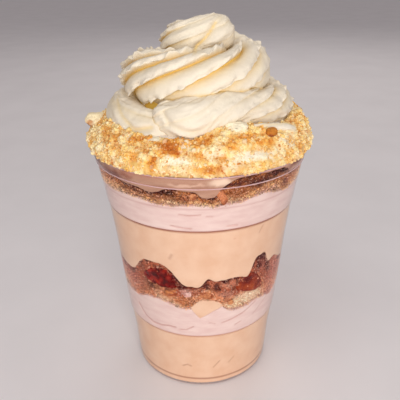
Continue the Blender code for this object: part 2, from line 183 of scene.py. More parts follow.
def pebbled(points, spacing, seed):
    """Lumps, 0 to 1: one minus the distance to the nearest random point of the cubes around."""
    cell = points / spacing
    corner = np.floor(cell).astype(np.int64)
    nearest = np.full(points.shape[:-1], 9.0)
    for step in product((-1, 0, 1), repeat=3):
        there = corner + np.array(step)
        spot = np.stack([chance_at(there, seed + axis) for axis in range(3)], axis=-1)
        away = np.linalg.norm(cell - there - 0.5 - 0.45 * spot, axis=-1)
        nearest = np.minimum(nearest, away)
    return np.clip(1.0 - nearest, 0.0, 1.0)


def ease(value, low, high):
    """0 below low, 1 above high, and 3t^2 - 2t^3 between."""
    share = np.clip((value - low) / (high - low), 0.0, 1.0)
    return share * share * (3.0 - 2.0 * share)


def linear(*colour):
    """A colour given as 0-255 display values, as the linear values that shaders use."""
    share = np.array(colour, dtype=float) / 255.0
    return np.where(share <= 0.04045, share / 12.92, ((share + 0.055) / 1.055) ** 2.4)


def blend(first, second, share):
    """From the first colour to the second by a share that may vary from point to point."""
    share = np.asarray(share)[..., None]
    return first * (1.0 - share) + second * share


def off_bearing(bearings, centre):
    """Degrees from a centre to the bearings, counted the short way round."""
    return (bearings - centre + 180.0) % 360.0 - 180.0


def bearing_of(points):
    """The bearing of each point, -180 to 180."""
    return np.degrees(np.arctan2(points[..., 0], -points[..., 1]))


def line_distance(across, height, route):
    """Distance to a broken line: to each stretch, from the foot of the perpendicular kept on it."""
    nearest = np.full(across.shape, 99.0)
    for (x0, z0), (x1, z1) in zip(route, route[1:]):
        run = np.array((x1 - x0, z1 - z0))
        share = np.clip(((across - x0) * run[0] + (height - z0) * run[1]) / (run @ run), 0.0, 1.0)
        away = np.hypot(across - x0 - share * run[0], height - z0 - share * run[1])
        nearest = np.minimum(nearest, away)
    return nearest


def edge_fall(inward, radius):
    """How far a face falls back at this distance in from its edge: R - sqrt(R^2 - (R - d)^2)."""
    short = np.clip(radius - inward, 0.0, None)
    return radius - np.sqrt(np.clip(radius**2 - short**2, 0.0, None))


def lengths_along(points):
    """The distance from the first point of a line to each of its points."""
    steps = np.linalg.norm(np.diff(points, axis=0), axis=1)
    return np.concatenate([[0.0], np.cumsum(steps)])


# ---- Meshes ----
def put(name, data):
    """A new object in the scene, at the origin."""
    made = bpy.data.objects.new(name, data)
    bpy.context.scene.collection.objects.link(made)
    return made


def piece(name, points, faces, material, slot, replaced=(), values=None, colours=None):
    """A finished mesh piece that rides with the cup: faces are arrays of equal-sided polygons."""
    mesh = bpy.data.meshes.new(name)
    mesh.vertices.add(len(points))
    mesh.vertices.foreach_set("co", (points * MM).astype(np.float32).ravel())
    loops = np.concatenate([block.ravel() for block in faces])
    sides = np.concatenate([np.full(len(block), block.shape[1]) for block in faces])
    mesh.loops.add(len(loops))
    mesh.loops.foreach_set("vertex_index", loops.astype(np.int32))
    mesh.polygons.add(len(sides))
    starts = np.concatenate([[0], np.cumsum(sides)[:-1]])
    mesh.polygons.foreach_set("loop_start", starts.astype(np.int32))
    mesh.update(calc_edges=True)
    mesh.validate()
    mesh.shade_smooth()
    for label, data in (values or {}).items():
        layer = mesh.attributes.new(label, "FLOAT", "POINT")
        layer.data.foreach_set("value", data.astype(np.float32).ravel())
    if colours is not None:
        layer = mesh.attributes.new("tint", "FLOAT_COLOR", "POINT")
        full = np.concatenate([colours, np.ones((len(colours), 1))], axis=1)
        layer.data.foreach_set("color", full.astype(np.float32).ravel())
    mesh.materials.append(material)
    made = put(name, mesh)
    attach(made, "root")
    if replaced:
        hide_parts(*replaced)
    return made


def grid_faces(rows, columns, first=0, shut=True, looped=False):
    """Quads between neighbouring rows of a grid of points. shut joins the last column to the first,
    and looped the last row to the first."""
    index = first + np.arange(rows * columns).reshape(rows, columns)
    if looped:
        index = np.concatenate([index, index[:1]])
    right = np.roll(index, -1, axis=1)
    if not shut:
        index, right = index[:, :-1], index[:, 1:]
    return np.stack([index[:-1], right[:-1], right[1:], index[1:]], axis=-1).reshape(-1, 4)


def turned(name, grid, material, slot, values=None, colours=None, **more):
    """A closed body from rows of points, going round columnwise, shut by a pole at each end."""
    rows, columns = grid.shape[:2]
    index = np.arange(rows * columns).reshape(rows, columns)
    right = np.roll(index, -1, axis=1)
    low = np.full(columns, rows * columns)
    ends = [np.stack([low, right[0], index[0]], axis=1),
            np.stack([index[-1], right[-1], low + 1], axis=1)]

    def poled(rows):
        """Rows of three values as one list, with the means of the first and last row added."""
        return np.concatenate([rows.reshape(-1, 3), [rows[0].mean(axis=0), rows[-1].mean(axis=0)]])
    fitted = {label: np.append(data.ravel(), [data[0].mean(), data[-1].mean()])
              for label, data in (values or {}).items()}
    return piece(name, poled(grid), [grid_faces(rows, columns), *ends], material, slot,
                 values=fitted, colours=None if colours is None else poled(colours), **more)


def around(radius, height, bearings=BEARINGS):
    """Points at a radius and height round the axis, one for each bearing of the last array axis."""
    turn = np.radians(bearings)
    radius, height, turn = np.broadcast_arrays(radius, height, turn)
    return np.stack([radius * np.sin(turn), -radius * np.cos(turn), height], axis=-1)


def joined(points, faces):
    """Copies of one shape as one mesh: their points, and the faces of each copy counted on."""
    count, corners = points.shape[:2]
    index = faces[None] + (np.arange(count) * corners)[:, None, None]
    return points.reshape(-1, 3), [index.reshape(-1, faces.shape[1])]


def shares(count):
    """A column of equal steps from 0 to 1."""
    return np.linspace(0.0, 1.0, count)[:, None]


def cup_skin(height):
    """The cup's outer radius at a height: its stations, averaged over a short window."""
    height = np.asarray(height, dtype=float)
    return np.mean([np.interp(height + step, *CUP_STATIONS.T) for step in SKIN_WINDOW], axis=0)


def wave_sum(bearings, bumps):
    """The total height of a list of bumps at each bearing, counted the short way round."""
    total = np.zeros_like(bearings, dtype=float)
    for centre, half_width, height, squareness in bumps:
        total += height * np.exp(-np.abs(off_bearing(bearings, centre) / half_width) ** squareness)
    return total


def boundary(surface, bearings=BEARINGS, seed=0, ragged=0.0):
    """Height of a boundary at the wall: its level, its bumps and a fine raggedness."""
    level, bumps = surface
    path = around(WALL_PATH, 0.0, bearings)
    return level + wave_sum(bearings, bumps) + ragged * rough(path, 5.0, seed)


def mound_height(radius, bearings=BEARINGS):
    """Height of the cream mound, whose shoulder stands higher on its right-hand side."""
    away = off_bearing(bearings, MOUND_RISE_BEARING)
    rise = MOUND_RISE * np.exp(-((away / MOUND_RISE_WIDTH) ** 2))
    return np.interp(radius, *MOUND.T) + rise * np.interp(radius, *MOUND_RISE_SHARES)


# ---- Shader building ----
class Value:
    """An output socket that can be used in sums: each sum adds its Math node."""

    def __init__(self, tree, socket):
        self.tree = tree
        self.socket = socket

    def math(self, operation, first, second):
        node = self.tree.nodes.new("ShaderNodeMath")
        node.operation = operation
        feed(self.tree, node.inputs[0], first)
        feed(self.tree, node.inputs[1], second)
        return Value(self.tree, node.outputs[0])

    def __add__(self, other):
        return self.math("ADD", self, other)

    def __radd__(self, other):
        return self.math("ADD", other, self)

    def __sub__(self, other):
        return self.math("SUBTRACT", self, other)

    def __rsub__(self, other):
        return self.math("SUBTRACT", other, self)

    def __mul__(self, other):
        return self.math("MULTIPLY", self, other)


def feed(tree, socket, value):
    """Puts a number, a colour or another node's output into a socket."""
    if isinstance(value, Value):
        tree.links.new(value.socket, socket)
    elif np.ndim(value) and len(value) == 3 and socket.type == "RGBA":
        socket.default_value = (*value, 1.0)
    else:
        socket.default_value = value


class Finish:
    """A material being made: a Principled shader, and one method that adds any other node."""

    def __init__(self, name, **constants):
        self.material = bpy.data.materials.new(name)
        self.material.use_nodes = True
        self.tree = self.material.node_tree
        self.shader = self.tree.nodes["Principled BSDF"]
        for label, value in constants.items():
            self.set(label.replace("_", " "), value)

    def node(self, kind, settings=None, inputs=None, output=0):
        """A new node: its settings first, then the values or links of its sockets."""
        made = self.tree.nodes.new("ShaderNode" + kind)
        for label, value in (settings or {}).items():
            if label == "stops":
                self.lay_stops(made.color_ramp, value)
            else:
                setattr(made, label, value)
        for label, value in (inputs or {}).items():
            feed(self.tree, made.inputs[label], value)
        return Value(self.tree, made.outputs[output])

    def lay_stops(self, ramp, stops):
        """Gives a colour ramp its stops, each a place and a colour."""
        for count, (place, colour) in enumerate(stops):
            stop = ramp.elements[count] if count < 2 else ramp.elements.new(place)
            stop.position = place
            stop.color = (*colour, 1.0)

    def set(self, label, value):
        """Puts a value into the shader's own socket."""
        feed(self.tree, self.shader.inputs[label], value)

    def place(self):
        """The point on the object, which rides with it."""
        return self.node("TexCoord", output="Object")

    def noise(self, spacing, detail=3.0, place=None):
        """Noise, 0 to 1, whose features are about this many millimetres apart."""
        return self.node("TexNoise", None, {
            "Vector": place or self.place(), "Scale": 1.0 / (spacing * MM), "Detail": detail})

    def cells(self, spacing):
        """Distance to the nearest point of a scatter that is about this many millimetres apart."""
        inputs = {"Vector": self.place(), "Scale": 1.0 / (spacing * MM)}
        return self.node("TexVoronoi", None, inputs)

    def own(self, label, output="Fac"):
        """The piece's own attribute."""
        return self.node("Attribute", {"attribute_name": label}, output=output)

    def mix(self, share, first, second, kind="MIX"):
        """From the first colour to the second by a share, through the node's colour sockets."""
        settings = {"data_type": "RGBA", "blend_type": kind}
        return self.node("Mix", settings, {0: share, 6: first, 7: second}, 2)

    def ramp(self, value, *stops):
        """The colour of a row of stops at a value."""
        return self.node("ValToRGB", {"stops": stops}, {"Fac": value}, "Color")

    def bump(self, height, depth, strength):
        """Relief of this many millimetres in the shading."""
        relief = {"Strength": strength, "Distance": depth * MM, "Height": height}
        self.set("Normal", self.node("Bump", None, relief, "Normal"))


WHITE, BLACK = (1.0, 1.0, 1.0), (0.0, 0.0, 0.0)


def cream_finish(name, pale, warm, deep):
    """Whipped cream: pale on its ridges and finely grained. Where the groove attribute rises, in the
    grooves and the crevices between turns, it takes the deep colour as painted shade.

    There it also glows a little in that colour: a painted glow for the light that cream passes on
    inside.
    """
    made = Finish(name, IOR=1.35, Emission_Strength=0.15)
    patches = made.noise(9.0, 2.0)
    body = made.mix(patches * 0.6, pale, warm)
    groove = made.own("groove")
    # Painted shade: deep ochre where the groove attribute rises
    made.set("Base Color", made.mix(groove, body, deep))
    # Painted glow in the grooves, though the cream is no lamp
    made.set("Emission Color", made.mix(groove * groove, BLACK, deep))
    made.set("Roughness", 0.5 + made.noise(1.5) * 0.2)
    made.bump(made.noise(0.7, 4.0) + made.noise(2.4, 2.0) * 0.7, 0.2, 0.7)
    return made.material


def press_smooth(made, mottle, least):
    """The skin of cream against the plastic: smooth, with soft relief. least is its roughness
    where it is smoothest."""
    made.set("Roughness", least + mottle * 0.2)
    made.bump(mottle + made.noise(1.2, 3.0) * 0.3, 0.1, 0.4)


def mound_finish():
    """Cream of the mound: its own tint, faintly mottled, and smooth like the plastic beside it."""
    made = Finish("mound_cream_finish", IOR=1.25)
    mottle = made.noise(5.0, 4.0)
    tint = made.own("tint", "Color")
    darker = made.mix(1.0, tint, (0.86, 0.8, 0.76), "MULTIPLY")
    made.set("Base Color", made.mix(mottle * 0.5, tint, darker))
    press_smooth(made, mottle, 0.4)
    return made.material


def pudding_finish():
    """Set vanilla pudding: smooth, mottled, with pinprick holes, and brown along its lines, which
    are painted shade.
    """
    made = Finish("vanilla_pudding_finish", IOR=1.25)
    mottle = made.noise(7.0, 4.0)
    body = made.ramp(mottle, (0.3, linear(227, 190, 158)), (0.7, linear(235, 204, 175)))
    pits = made.ramp(made.cells(3.4), (0.04, WHITE), (0.1, BLACK))
    body = made.mix(pits * 0.25, body, linear(216, 160, 105))
    # Painted shade: brown where the line attribute rises
    made.set("Base Color", made.mix(made.own("line"), body, linear(150, 92, 70)))
    made.set("Roughness", 0.36 + mottle * 0.2)
    made.bump(made.noise(0.9, 3.0) - pits * 0.8, 0.08, 0.5)
    return made.material


def layered_cream_finish():
    """Cream pressed against the cup: smooth, faintly streaked, and darker along its lines, which are
    painted shade.
    """
    made = Finish("pressed_cream_finish", IOR=1.25)
    streak = made.node("Mapping", None, {"Vector": made.place(), "Scale": (1.0, 1.0, 4.0)})
    mottle = made.noise(9.0, 4.0, streak)
    body = made.ramp(mottle, (0.3, linear(224, 199, 192)), (0.7, linear(236, 218, 210)))
    # Painted shade: darker where the line attribute rises
    made.set("Base Color", made.mix(made.own("line"), body, linear(196, 150, 142)))
    press_smooth(made, mottle, 0.36)
    return made.material


def crumb_finish(name, roughness, depth, specks, **constants):
    """Broken biscuit: each crumb's own tint, with grains, dark and light specks, and pits."""
    made = Finish(name, **constants)
    grain = made.noise(0.8, 3.0)
    tint = made.own("tint", "Color")
    grainy = made.ramp(grain, (0.3, (0.86, 0.8, 0.74)), (0.65, WHITE))
    shaded = made.mix(0.7, tint, grainy, "MULTIPLY")
    elsewhere = made.node("Mapping", None, {"Vector": made.place(), "Location": (7.0, 3.0, 5.0)})
    dark = made.ramp(made.noise(0.5, 1.0, elsewhere), (0.6, WHITE), (0.66, (0.52, 0.38, 0.34)))
    light = made.ramp(made.noise(0.5, 1.0), (0.57, BLACK), (0.64, (0.16, 0.11, 0.09)))
    speckled = made.mix(1.0, made.mix(1.0, shaded, dark, "MULTIPLY"), light, "ADD")
    made.set("Base Color", made.mix(specks, shaded, speckled))
    made.set("Roughness", roughness + grain * 0.15)
    made.bump(grain, depth, 0.8)
    return made.material


def jam_finish(name, dark, middle, bright, spacing):
    """Jam or caramel pressed against the cup: deep colour broken by veins, under a wet skin."""
    made = Finish(name, IOR=1.2, Coat_IOR=1.25)
    veins = made.noise(spacing, 5.0)
    flecks = made.noise(spacing * 0.3, 3.0)
    body = made.ramp(veins, (0.36, dark), (0.52, middle), (0.7, bright))
    flecked = made.ramp(flecks, (0.62, BLACK), (0.72, (0.6, 0.6, 0.6)))
    made.set("Base Color", made.mix(flecked, body, bright))
    made.set("Roughness", 0.12 + veins * 0.3)
    made.set("Coat Weight", made.ramp(veins, (0.4, (0.14, 0.14, 0.14)), (0.6, (0.4, 0.4, 0.4))))
    made.bump(veins + flecks * 0.3, 0.2, 0.7)
    return made.material


def plastic_finish():
    """Clear cup plastic: see-through with one faint rosy tint all over, and a mirror-like skin.

    The gloss is only on faces met from outside. Light goes straight through so thin a wall, but a
    slanted face met from within the plastic would be a full mirror by Fresnel alone.
    """
    made = Finish("clear_plastic_finish")
    outside = 1.0 - made.node("NewGeometry", output="Backfacing")
    glance = made.node("Fresnel", None, {"IOR": 1.22}) * outside
    clear = made.node("BsdfTransparent", None, {"Color": (0.98, 0.935, 0.93)})
    gloss = made.node("BsdfGlossy", None, {"Color": (0.9, 0.9, 0.9), "Roughness": 0.07})
    mixed = made.node("MixShader", None, {0: glance, 1: clear, 2: gloss})
    feed(made.tree, made.tree.nodes["Material Output"].inputs["Surface"], mixed)
    return made.material


def lip_highlight_finish():
    """Thick plastic where the cup folds at its lip: glossy, only half see-through and pale pink,
    a painted highlight along the folds.
    """
    made = Finish("lip_highlight_plastic_finish", IOR=1.45)
    streak = made.noise(14.0, 2.0)
    made.set("Base Color", made.mix(streak, linear(226, 176, 180), linear(255, 228, 226)))
    made.set("Roughness", 0.16 + streak * 0.1)
    made.set("Alpha", 0.3 + streak * 0.4)
    return made.material


# ---- The cup ----
def make_cup(material):
    """The cup's thin shell, turned from one outline: foot, stepped wall, rim and back inside."""
    rise = np.arange(WALL_STEP, CUP_STATIONS[-1, 0], WALL_STEP)
    outer = np.stack([cup_skin(rise), rise], axis=1)
    turn = np.radians(np.linspace(-70.0, 205.0, 24))
    bead = np.stack([RIM_RADIUS - BEAD_RADIUS + BEAD_RADIUS * np.cos(turn),
                     CUP_HEIGHT - BEAD_RISE + BEAD_RISE * np.sin(turn)], axis=1)
    inner = np.stack([cup_skin(rise) - SHELL, rise], axis=1)[::-1]
    inner = inner[inner[:, 1] > INNER_FOOT]
    outline = np.concatenate([FOOT_OUTLINE, outer, bead, inner, FLOOR_OUTLINE])
    grid = around(outline[:, :1], outline[:, 1:], CUP_BEARINGS)
    return turned("cup_shell", grid, material, "clear_plastic", replaced=("cup",))


def make_lip_rings(material):
    """Thin rings where the plastic folds below the rim, each a circle carried round the cup, with a
    pale finish that paints highlight lines there.
    """
    turn = np.radians(np.arange(10) * 36.0)[:, None]
    rings = np.stack([around(cup_skin(height) + LIP_RING_STAND + tube * np.cos(turn),
                             height + tube * np.sin(turn), CUP_BEARINGS)
                      for height, tube in LIP_RINGS])
    faces = grid_faces(len(turn), len(CUP_BEARINGS), looped=True)
    points, faces = joined(rings.reshape(len(rings), -1, 3), faces)
    return piece("lip_highlight_rings", points, faces, material, "clear_plastic")


# ---- The layers against the wall ----
EDGE_ROUND = 0.7                        # radius of a layer's rounded edges
CAP_SHARES = (0.25, 0.6, 0.9, 0.965)    # how far out the rows of a layer's flat faces lie
CAP_OVERLAP = 0.12                      # how far those faces reach past the boundary, so that
                                        # neighbouring layers overlap and share no face


def cap_rows(edge, level, lift, bearings=BEARINGS):
    """Rows of a layer's underside or top: from near the axis at its level out towards its edge."""
    reach = cup_skin(edge) - REACH
    return np.stack([around(reach * share, level + (edge - level) * share + lift, bearings)
                     for share in CAP_SHARES])


def layer_grid(low, high, relief, bearings=BEARINGS, row_step=ROW_STEP):
    """Rows of a layer: out along its underside, up the wall, and in along its top.

    The wall lies REACH behind the cup's skin, less relief(points), and its two edges are rounded
    by a quarter circle of EDGE_ROUND. Returns the rows and which of them lie on the wall.
    """
    share = shares(int(np.ceil((high - low).mean() / row_step)) + 1)
    height = low + share * (high - low)
    rounding = edge_fall(np.minimum(height - low, high - height), EDGE_ROUND)
    radius = cup_skin(height) - REACH
    points = around(radius, height, bearings)
    wall = around(radius - rounding - np.clip(relief(points), 0.0, None), height, bearings)
    foot = cap_rows(low, low.mean(), -CAP_OVERLAP, bearings)
    top = cap_rows(high, high.mean(), CAP_OVERLAP, bearings)[::-1]
    on_wall = np.repeat([False, True, False], [len(foot), len(wall), len(top)])
    return np.concatenate([foot, wall, top]), on_wall


CREASE_RADIUS = 38.0    # turns the creases' bearings into millimetres round the wall


def crease(points, route, width):
    """1 along a broken line of bearing and height, and exp(-(distance / width)^2) beside it."""
    across = np.radians(bearing_of(points)) * CREASE_RADIUS
    spots = [(np.radians(bearing) * CREASE_RADIUS, level) for bearing, level in route]
    return np.exp(-((line_distance(across, points[..., 2], spots) / width) ** 2))


def creases(points, routes):
    """The deepest of several creases, each given by its route, width and depth."""
    total = np.zeros(points.shape[:-1])
    for route, width, depth in routes:
        total = np.maximum(total, depth * crease(points, route, width))
    return total


# Creases of each layer: the route in bearing and height, the width and the depth, 0 to 1, which also
# sets how dark the crease's painted shade is.
LOWER_PUDDING_MARKS = (
    (((-16, 12.0), (-12, 13.2), (-9, 12.4)), 0.35, 0.5),
    (((9, 11.5), (12, 13.5), (14, 15.0)), 0.35, 0.45),
    (((22, 13.0), (26, 15.5)), 0.4, 0.3),
)
LOWER_CREAM_MARKS = (
    (((-52, 42.0), (-45, 37.0), (-38, 35.2), (-30, 35.4), (-24, 36.4), (-19, 36.2)), 0.4, 0.75),
    (((-16, 35.4), (-11, 35.8), (-6, 38.0)), 0.35, 0.6),
    (((5, 40.2), (9, 39.4)), 0.35, 0.5),
    (((14, 39.3), (22, 40.6), (30, 42.2), (41, 46.0)), 0.35, 0.55),
    (((24, 36.5), (29, 37.4)), 0.35, 0.5),
    (((40, 39.0), (52, 44.0), (60, 47.0)), 0.4, 0.4),
)
MIDDLE_CREAM_MARKS = (
    (((-11, 97.1), (-6, 96.8), (0, 97.2)), 0.35, 0.6),
    (((-16, 91.5), (-9, 90.8), (-5, 90.6)), 0.35, 0.6),
    (((3, 96.5), (6, 96.2)), 0.3, 0.5),
    (((14, 91.0), (20, 90.8)), 0.3, 0.4),
)
MIDDLE_PUDDING_MARKS = (
    (((-19, 74.5), (-17.5, 76.5)), 0.6, 0.35),
    (((36, 84.0), (38, 87.0)), 0.4, 0.3),
)


def edge_of(surface, seed, ragged, rise=0.0):
    """A boundary as a function of bearing."""
    return lambda bearings: boundary(surface, bearings, seed, ragged) + rise


LOWER_BOUNDS = (edge_of(CRUMB_LOWER_BOTTOM, 11, 0.5), edge_of(PUDDING_MIDDLE_BOTTOM, 12, 0.4))
UPPER_BOUNDS = (edge_of(CRUMB_UPPER_BOTTOM, 13, 0.5), edge_of(CREAM_CAP_BOTTOM, 61, 0.35))


def make_layer(name, low, high, material, slot, node, marks, seed, lines,
               carved=lambda points: 0.0):
    """A smooth layer with soft dents and the given creases. Its line attribute is painted shade:
    darker in the creases, in lines at the given heights and along both edges.
    """
    def relief(points):
        dents = np.clip(rough(points, 14.0, seed) - 0.35, 0.0, None) * 0.2
        return dents + creases(points, marks) * 0.5 + carved(points)
    grid, on_wall = layer_grid(low, high, relief)
    # Painted shade: the line attribute darkens the creases and the lines at the given heights
    line = creases(grid, marks)
    for height, width, depth in lines:
        line = np.maximum(line, depth * np.exp(-(((grid[..., 2] - height) / width) ** 2)))
    line = line * on_wall[:, None]
    # Painted shade along both edges of the layer, where the next layer meets it
    near = np.minimum(grid[..., 2] - low, high - grid[..., 2])
    line = np.clip(line + 0.35 * on_wall[:, None] * (1.0 - ease(near, 0.0, 0.9)), 0.0, 1.0)
    return turned(name, grid, material, slot, values={"line": line}, replaced=(node,))


# ---- Crumbs ----
FLAT_CUTS = 5         # flat faces broken off each crumb
SHAPE_COUNT = 12      # different crumbs in one scatter


def ball_shapes(divisions, count, seed):
    """Broken-biscuit shapes: unit balls of triangles, each pushed in and out and cut flat."""
    edit = bmesh.new()
    bmesh.ops.create_icosphere(edit, subdivisions=divisions, radius=1.0)
    corners = np.array([v.co for v in edit.verts])
    faces = np.array([[v.index for v in f.verts] for f in edit.faces])
    edit.free()
    chance = np.random.default_rng(seed)
    shapes = []
    for _ in range(count):
        shape = corners * (1.0 + 0.22 * chance.uniform(-1.0, 1.0, (len(corners), 1)))
        for _ in range(FLAT_CUTS):
            way = chance.normal(size=3)
            way /= np.linalg.norm(way)
            over = np.clip(shape @ way - chance.uniform(0.45, 0.8), 0.0, None)
            shape = shape - over[:, None] * way
        shapes.append(shape * chance.uniform(0.75, 1.15, 3))
    return np.stack(shapes), faces


def random_turns(count, chance):
    """Random rotation matrices, from unit quaternions."""
    q = chance.normal(size=(count, 4))
    w, x, y, z = (q / np.linalg.norm(q, axis=1, keepdims=True)).T
    return np.stack([
        np.stack([1 - 2 * (y * y + z * z), 2 * (x * y - z * w), 2 * (x * z + y * w)], axis=1),
        np.stack([2 * (x * y + z * w), 1 - 2 * (x * x + z * z), 2 * (y * z - x * w)], axis=1),
        np.stack([2 * (x * z - y * w), 2 * (y * z + x * w), 1 - 2 * (x * x + y * y)], axis=1),
    ], axis=1)


def press_in(points, play):
    """Moves what stands past the filling's skin, and some play, back to it."""
    limit = cup_skin(points[..., 2]) - REACH + play
    points[..., :2] *= np.minimum(1.0, limit / np.hypot(points[..., 0], points[..., 1]))[..., None]


def lumpy_body(shape, half_sizes, shift, spacing, layers, seed, lumpy, square):
    """A ball made lumpy, squared a little and stretched, then the ball and the lumps themselves."""
    ball = shape / np.linalg.norm(shape, axis=1, keepdims=True)
    lumps = rough(ball * 2.0 + shift, spacing, seed, layers)
    body = ball * (1.0 + lumpy * lumps)[:, None]
    return np.sign(body) * np.abs(body) ** square * half_sizes, ball, lumps


def scatter(name, kept, spots, sizes, tints, material, slot, divisions, seed, pressed=False):
    """Loose crumbs joined into one mesh: a copy of some shape at each kept spot, sized and turned.

    A pressed crumb is flattened against the cup, at a small depth of its own, so that no two
    crumbs share a face. Some stand a hair in front of the cream beside them and some behind it.
    """
    spots, sizes, tints = spots[kept], sizes[kept], tints[kept]
    shapes, faces = ball_shapes(divisions, SHAPE_COUNT, seed)
    chance = np.random.default_rng(seed + 1)
    count = len(spots)
    chosen = shapes[chance.integers(0, len(shapes), count)] * sizes[:, None, None]
    points = np.einsum("nij,nvj->nvi", random_turns(count, chance), chosen) + spots[:, None, :]
    if pressed:
        press_in(points, chance.uniform(-0.12, 0.1, (count, 1)))
    colours = np.repeat(tints, shapes.shape[1], axis=0)
    return piece(name, *joined(points, faces), material, slot, colours=colours)


PALE = linear(254, 240, 202)
BISCUIT = linear(254, 230, 162)
GOLDEN = linear(250, 196, 99)
TOASTED = linear(214, 136, 56)
# A rosy painted shade of the cup's sides
SIDE_SHADE_ROSE = linear(214, 144, 126)
COPPER = linear(198, 120, 86)
TAN = linear(240, 178, 132)
STRAW = linear(240, 214, 178)
MAROON = linear(88, 16, 18)
UMBER = linear(104, 50, 36)


def side_shade_share(bearings):
    """0 at the front and back of the cup, 1 at its sides, by the sine of the bearing: how much
    painted side light and shade a colour takes.
    """
    return ease(np.abs(np.sin(np.radians(bearings))), 0.62, 0.85)


PATCH_RADIUS = 42.0    # turns the patches' bearings into millimetres round the wall


def painted(points, colours, patches, seed):
    """Ragged patches of colour laid over the given colours. A patch is its bearing, its height,
    its half width and half height in millimetres, its colour and its strength."""
    warp, lift = (drifts(points, first, (1.0, 3.0), (0.6, 1.3)) for first in (seed, seed + 2))
    bearings = bearing_of(points)
    for bearing, height, wide, tall, colour, strength in patches:
        across = (np.radians(off_bearing(bearings, bearing)) * PATCH_RADIUS + warp) / wide
        upward = (points[..., 2] + lift - height) / tall
        colours = blend(colours, colour, strength * np.exp(-((across**2 + upward**2) ** 2)))
    return colours


LOWER_PATCHES = (
    (-45.0, 55.6, 4.0, 4.0, linear(200, 134, 108), 0.8), (-41.7, 64.0, 2.8, 2.6, UMBER, 0.35),
    (-36.0, 54.0, 5.0, 2.2, linear(206, 142, 108), 0.7), (-33.8, 57.2, 4.5, 1.6, UMBER, 0.8),
    (-24.7, 51.4, 5.0, 1.7, STRAW, 0.8), (-9.8, 56.9, 2.6, 2.0, linear(226, 186, 174), 0.95),
    (-11.4, 52.0, 5.0, 2.2, linear(216, 150, 98), 0.8), (-12.8, 60.0, 2.4, 1.8, MAROON, 1.0),
    (-3.4, 59.8, 5.0, 0.8, MAROON, 1.0), (2.8, 61.0, 1.7, 2.2, MAROON, 0.8),
    (9.7, 59.5, 1.9, 3.0, MAROON, 0.9), (15.8, 60.6, 3.2, 2.2, linear(210, 148, 116), 0.8),
    (21.8, 58.2, 1.6, 2.2, MAROON, 0.45), (18.5, 61.0, 4.2, 2.0, linear(236, 172, 140), 0.8),
    (16.0, 54.8, 4.0, 1.7, linear(214, 168, 146), 0.8),
    (33.0, 50.6, 8.6, 3.2, linear(255, 248, 220), 1.0),
    (21.5, 49.4, 5.0, 2.4, linear(255, 240, 204), 1.0),
    (42.5, 65.5, 4.0, 4.6, linear(178, 108, 94), 0.7),
    (52.0, 67.5, 3.0, 1.6, MAROON, 0.8), (-54.5, 58.0, 6.0, 9.0, SIDE_SHADE_ROSE, 0.5),
    (56.7, 55.0, 5.5, 9.0, SIDE_SHADE_ROSE, 0.5), (54.7, 46.5, 4.0, 2.4, linear(210, 146, 140), 0.8),
)
UPPER_PATCHES = (
    (-48.0, 109.8, 6.0, 2.0, UMBER, 0.9), (-33.8, 106.0, 6.0, 1.2, UMBER, 0.75),
    (-38.0, 103.8, 5.0, 1.4, linear(196, 146, 112), 0.8),
    (-24.0, 104.6, 4.0, 1.5, linear(180, 128, 96), 0.7),
    (-17.0, 106.6, 3.4, 1.7, linear(72, 26, 20), 0.9),
    (-13.0, 104.6, 4.0, 1.3, linear(150, 96, 58), 0.8),
    (-16.5, 102.6, 3.6, 1.0, STRAW, 0.9), (-6.8, 105.0, 3.4, 1.5, linear(190, 128, 90), 0.9),
    (19.3, 106.4, 4.4, 2.6, linear(176, 112, 66), 0.8),
    (17.1, 110.6, 5.5, 1.4, linear(92, 20, 22), 0.95),
    (30.0, 109.2, 6.0, 2.4, linear(98, 22, 6), 0.95),
    (42.1, 111.8, 7.0, 1.5, linear(72, 8, 16), 1.0),
    (17.6, 102.8, 5.0, 1.1, STRAW, 0.85), (37.3, 104.6, 5.5, 1.3, linear(226, 190, 168), 0.85),
    (50.0, 105.0, 2.0, 2.4, linear(120, 34, 40), 0.7),
)


def bed_tones(points, share, low_tone, high_tone, top_shade_tone, side_shade_weight, patches, seed):
    """Colours of a crumb band by the share up it: pale at its foot, low then high tone, darker at
    its top in painted shade under the layer above, with soft clumps of dark and the given patches.
    Round the sides it is rosier, with fewer dark clumps and a lighter top: painted light and shade
    of the cup's sides."""
    side_shade = side_shade_share(bearing_of(points))
    level = share + 0.2 * rough(points, 5.0, seed)
    colours = blend(STRAW, low_tone, ease(level, -0.02, 0.16))
    colours = blend(colours, high_tone, ease(level, 0.3, 0.6))
    # Painted side shade: rosier round the sides
    colours = blend(colours, SIDE_SHADE_ROSE, side_shade_weight * side_shade)
    clumps = ease(rough(points, 2.2, seed + 5), 0.35, 0.8)
    # Soft clumps of dark, fewer round the sides as painted side light
    colours = blend(colours, UMBER, (0.6 - 0.35 * side_shade) * clumps)
    colours = painted(points, colours, patches, seed + 9)
    # Painted shade along the band's top, under the layer above, lighter round the sides
    return blend(colours, top_shade_tone, ease(level, 0.86, 0.97) * (1.0 - 0.4 * side_shade))


def lower_tones(points, share):
    """Colours of the lower crumb layer."""
    return bed_tones(points, share, TAN, COPPER, MAROON, 0.35, LOWER_PATCHES, 400)


def upper_tones(points, share):
    """Colours of the upper crumb layer."""
    return bed_tones(points, share, linear(244, 198, 142), linear(206, 138, 80),
                     linear(92, 32, 20), 0.1, UPPER_PATCHES, 430)


BED_DEPTH = 1.15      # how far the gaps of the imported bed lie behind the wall
COARSE_LUMP, FINE_LUMP = 2.4, 1.0
FINE_ROW_STEP = 0.3


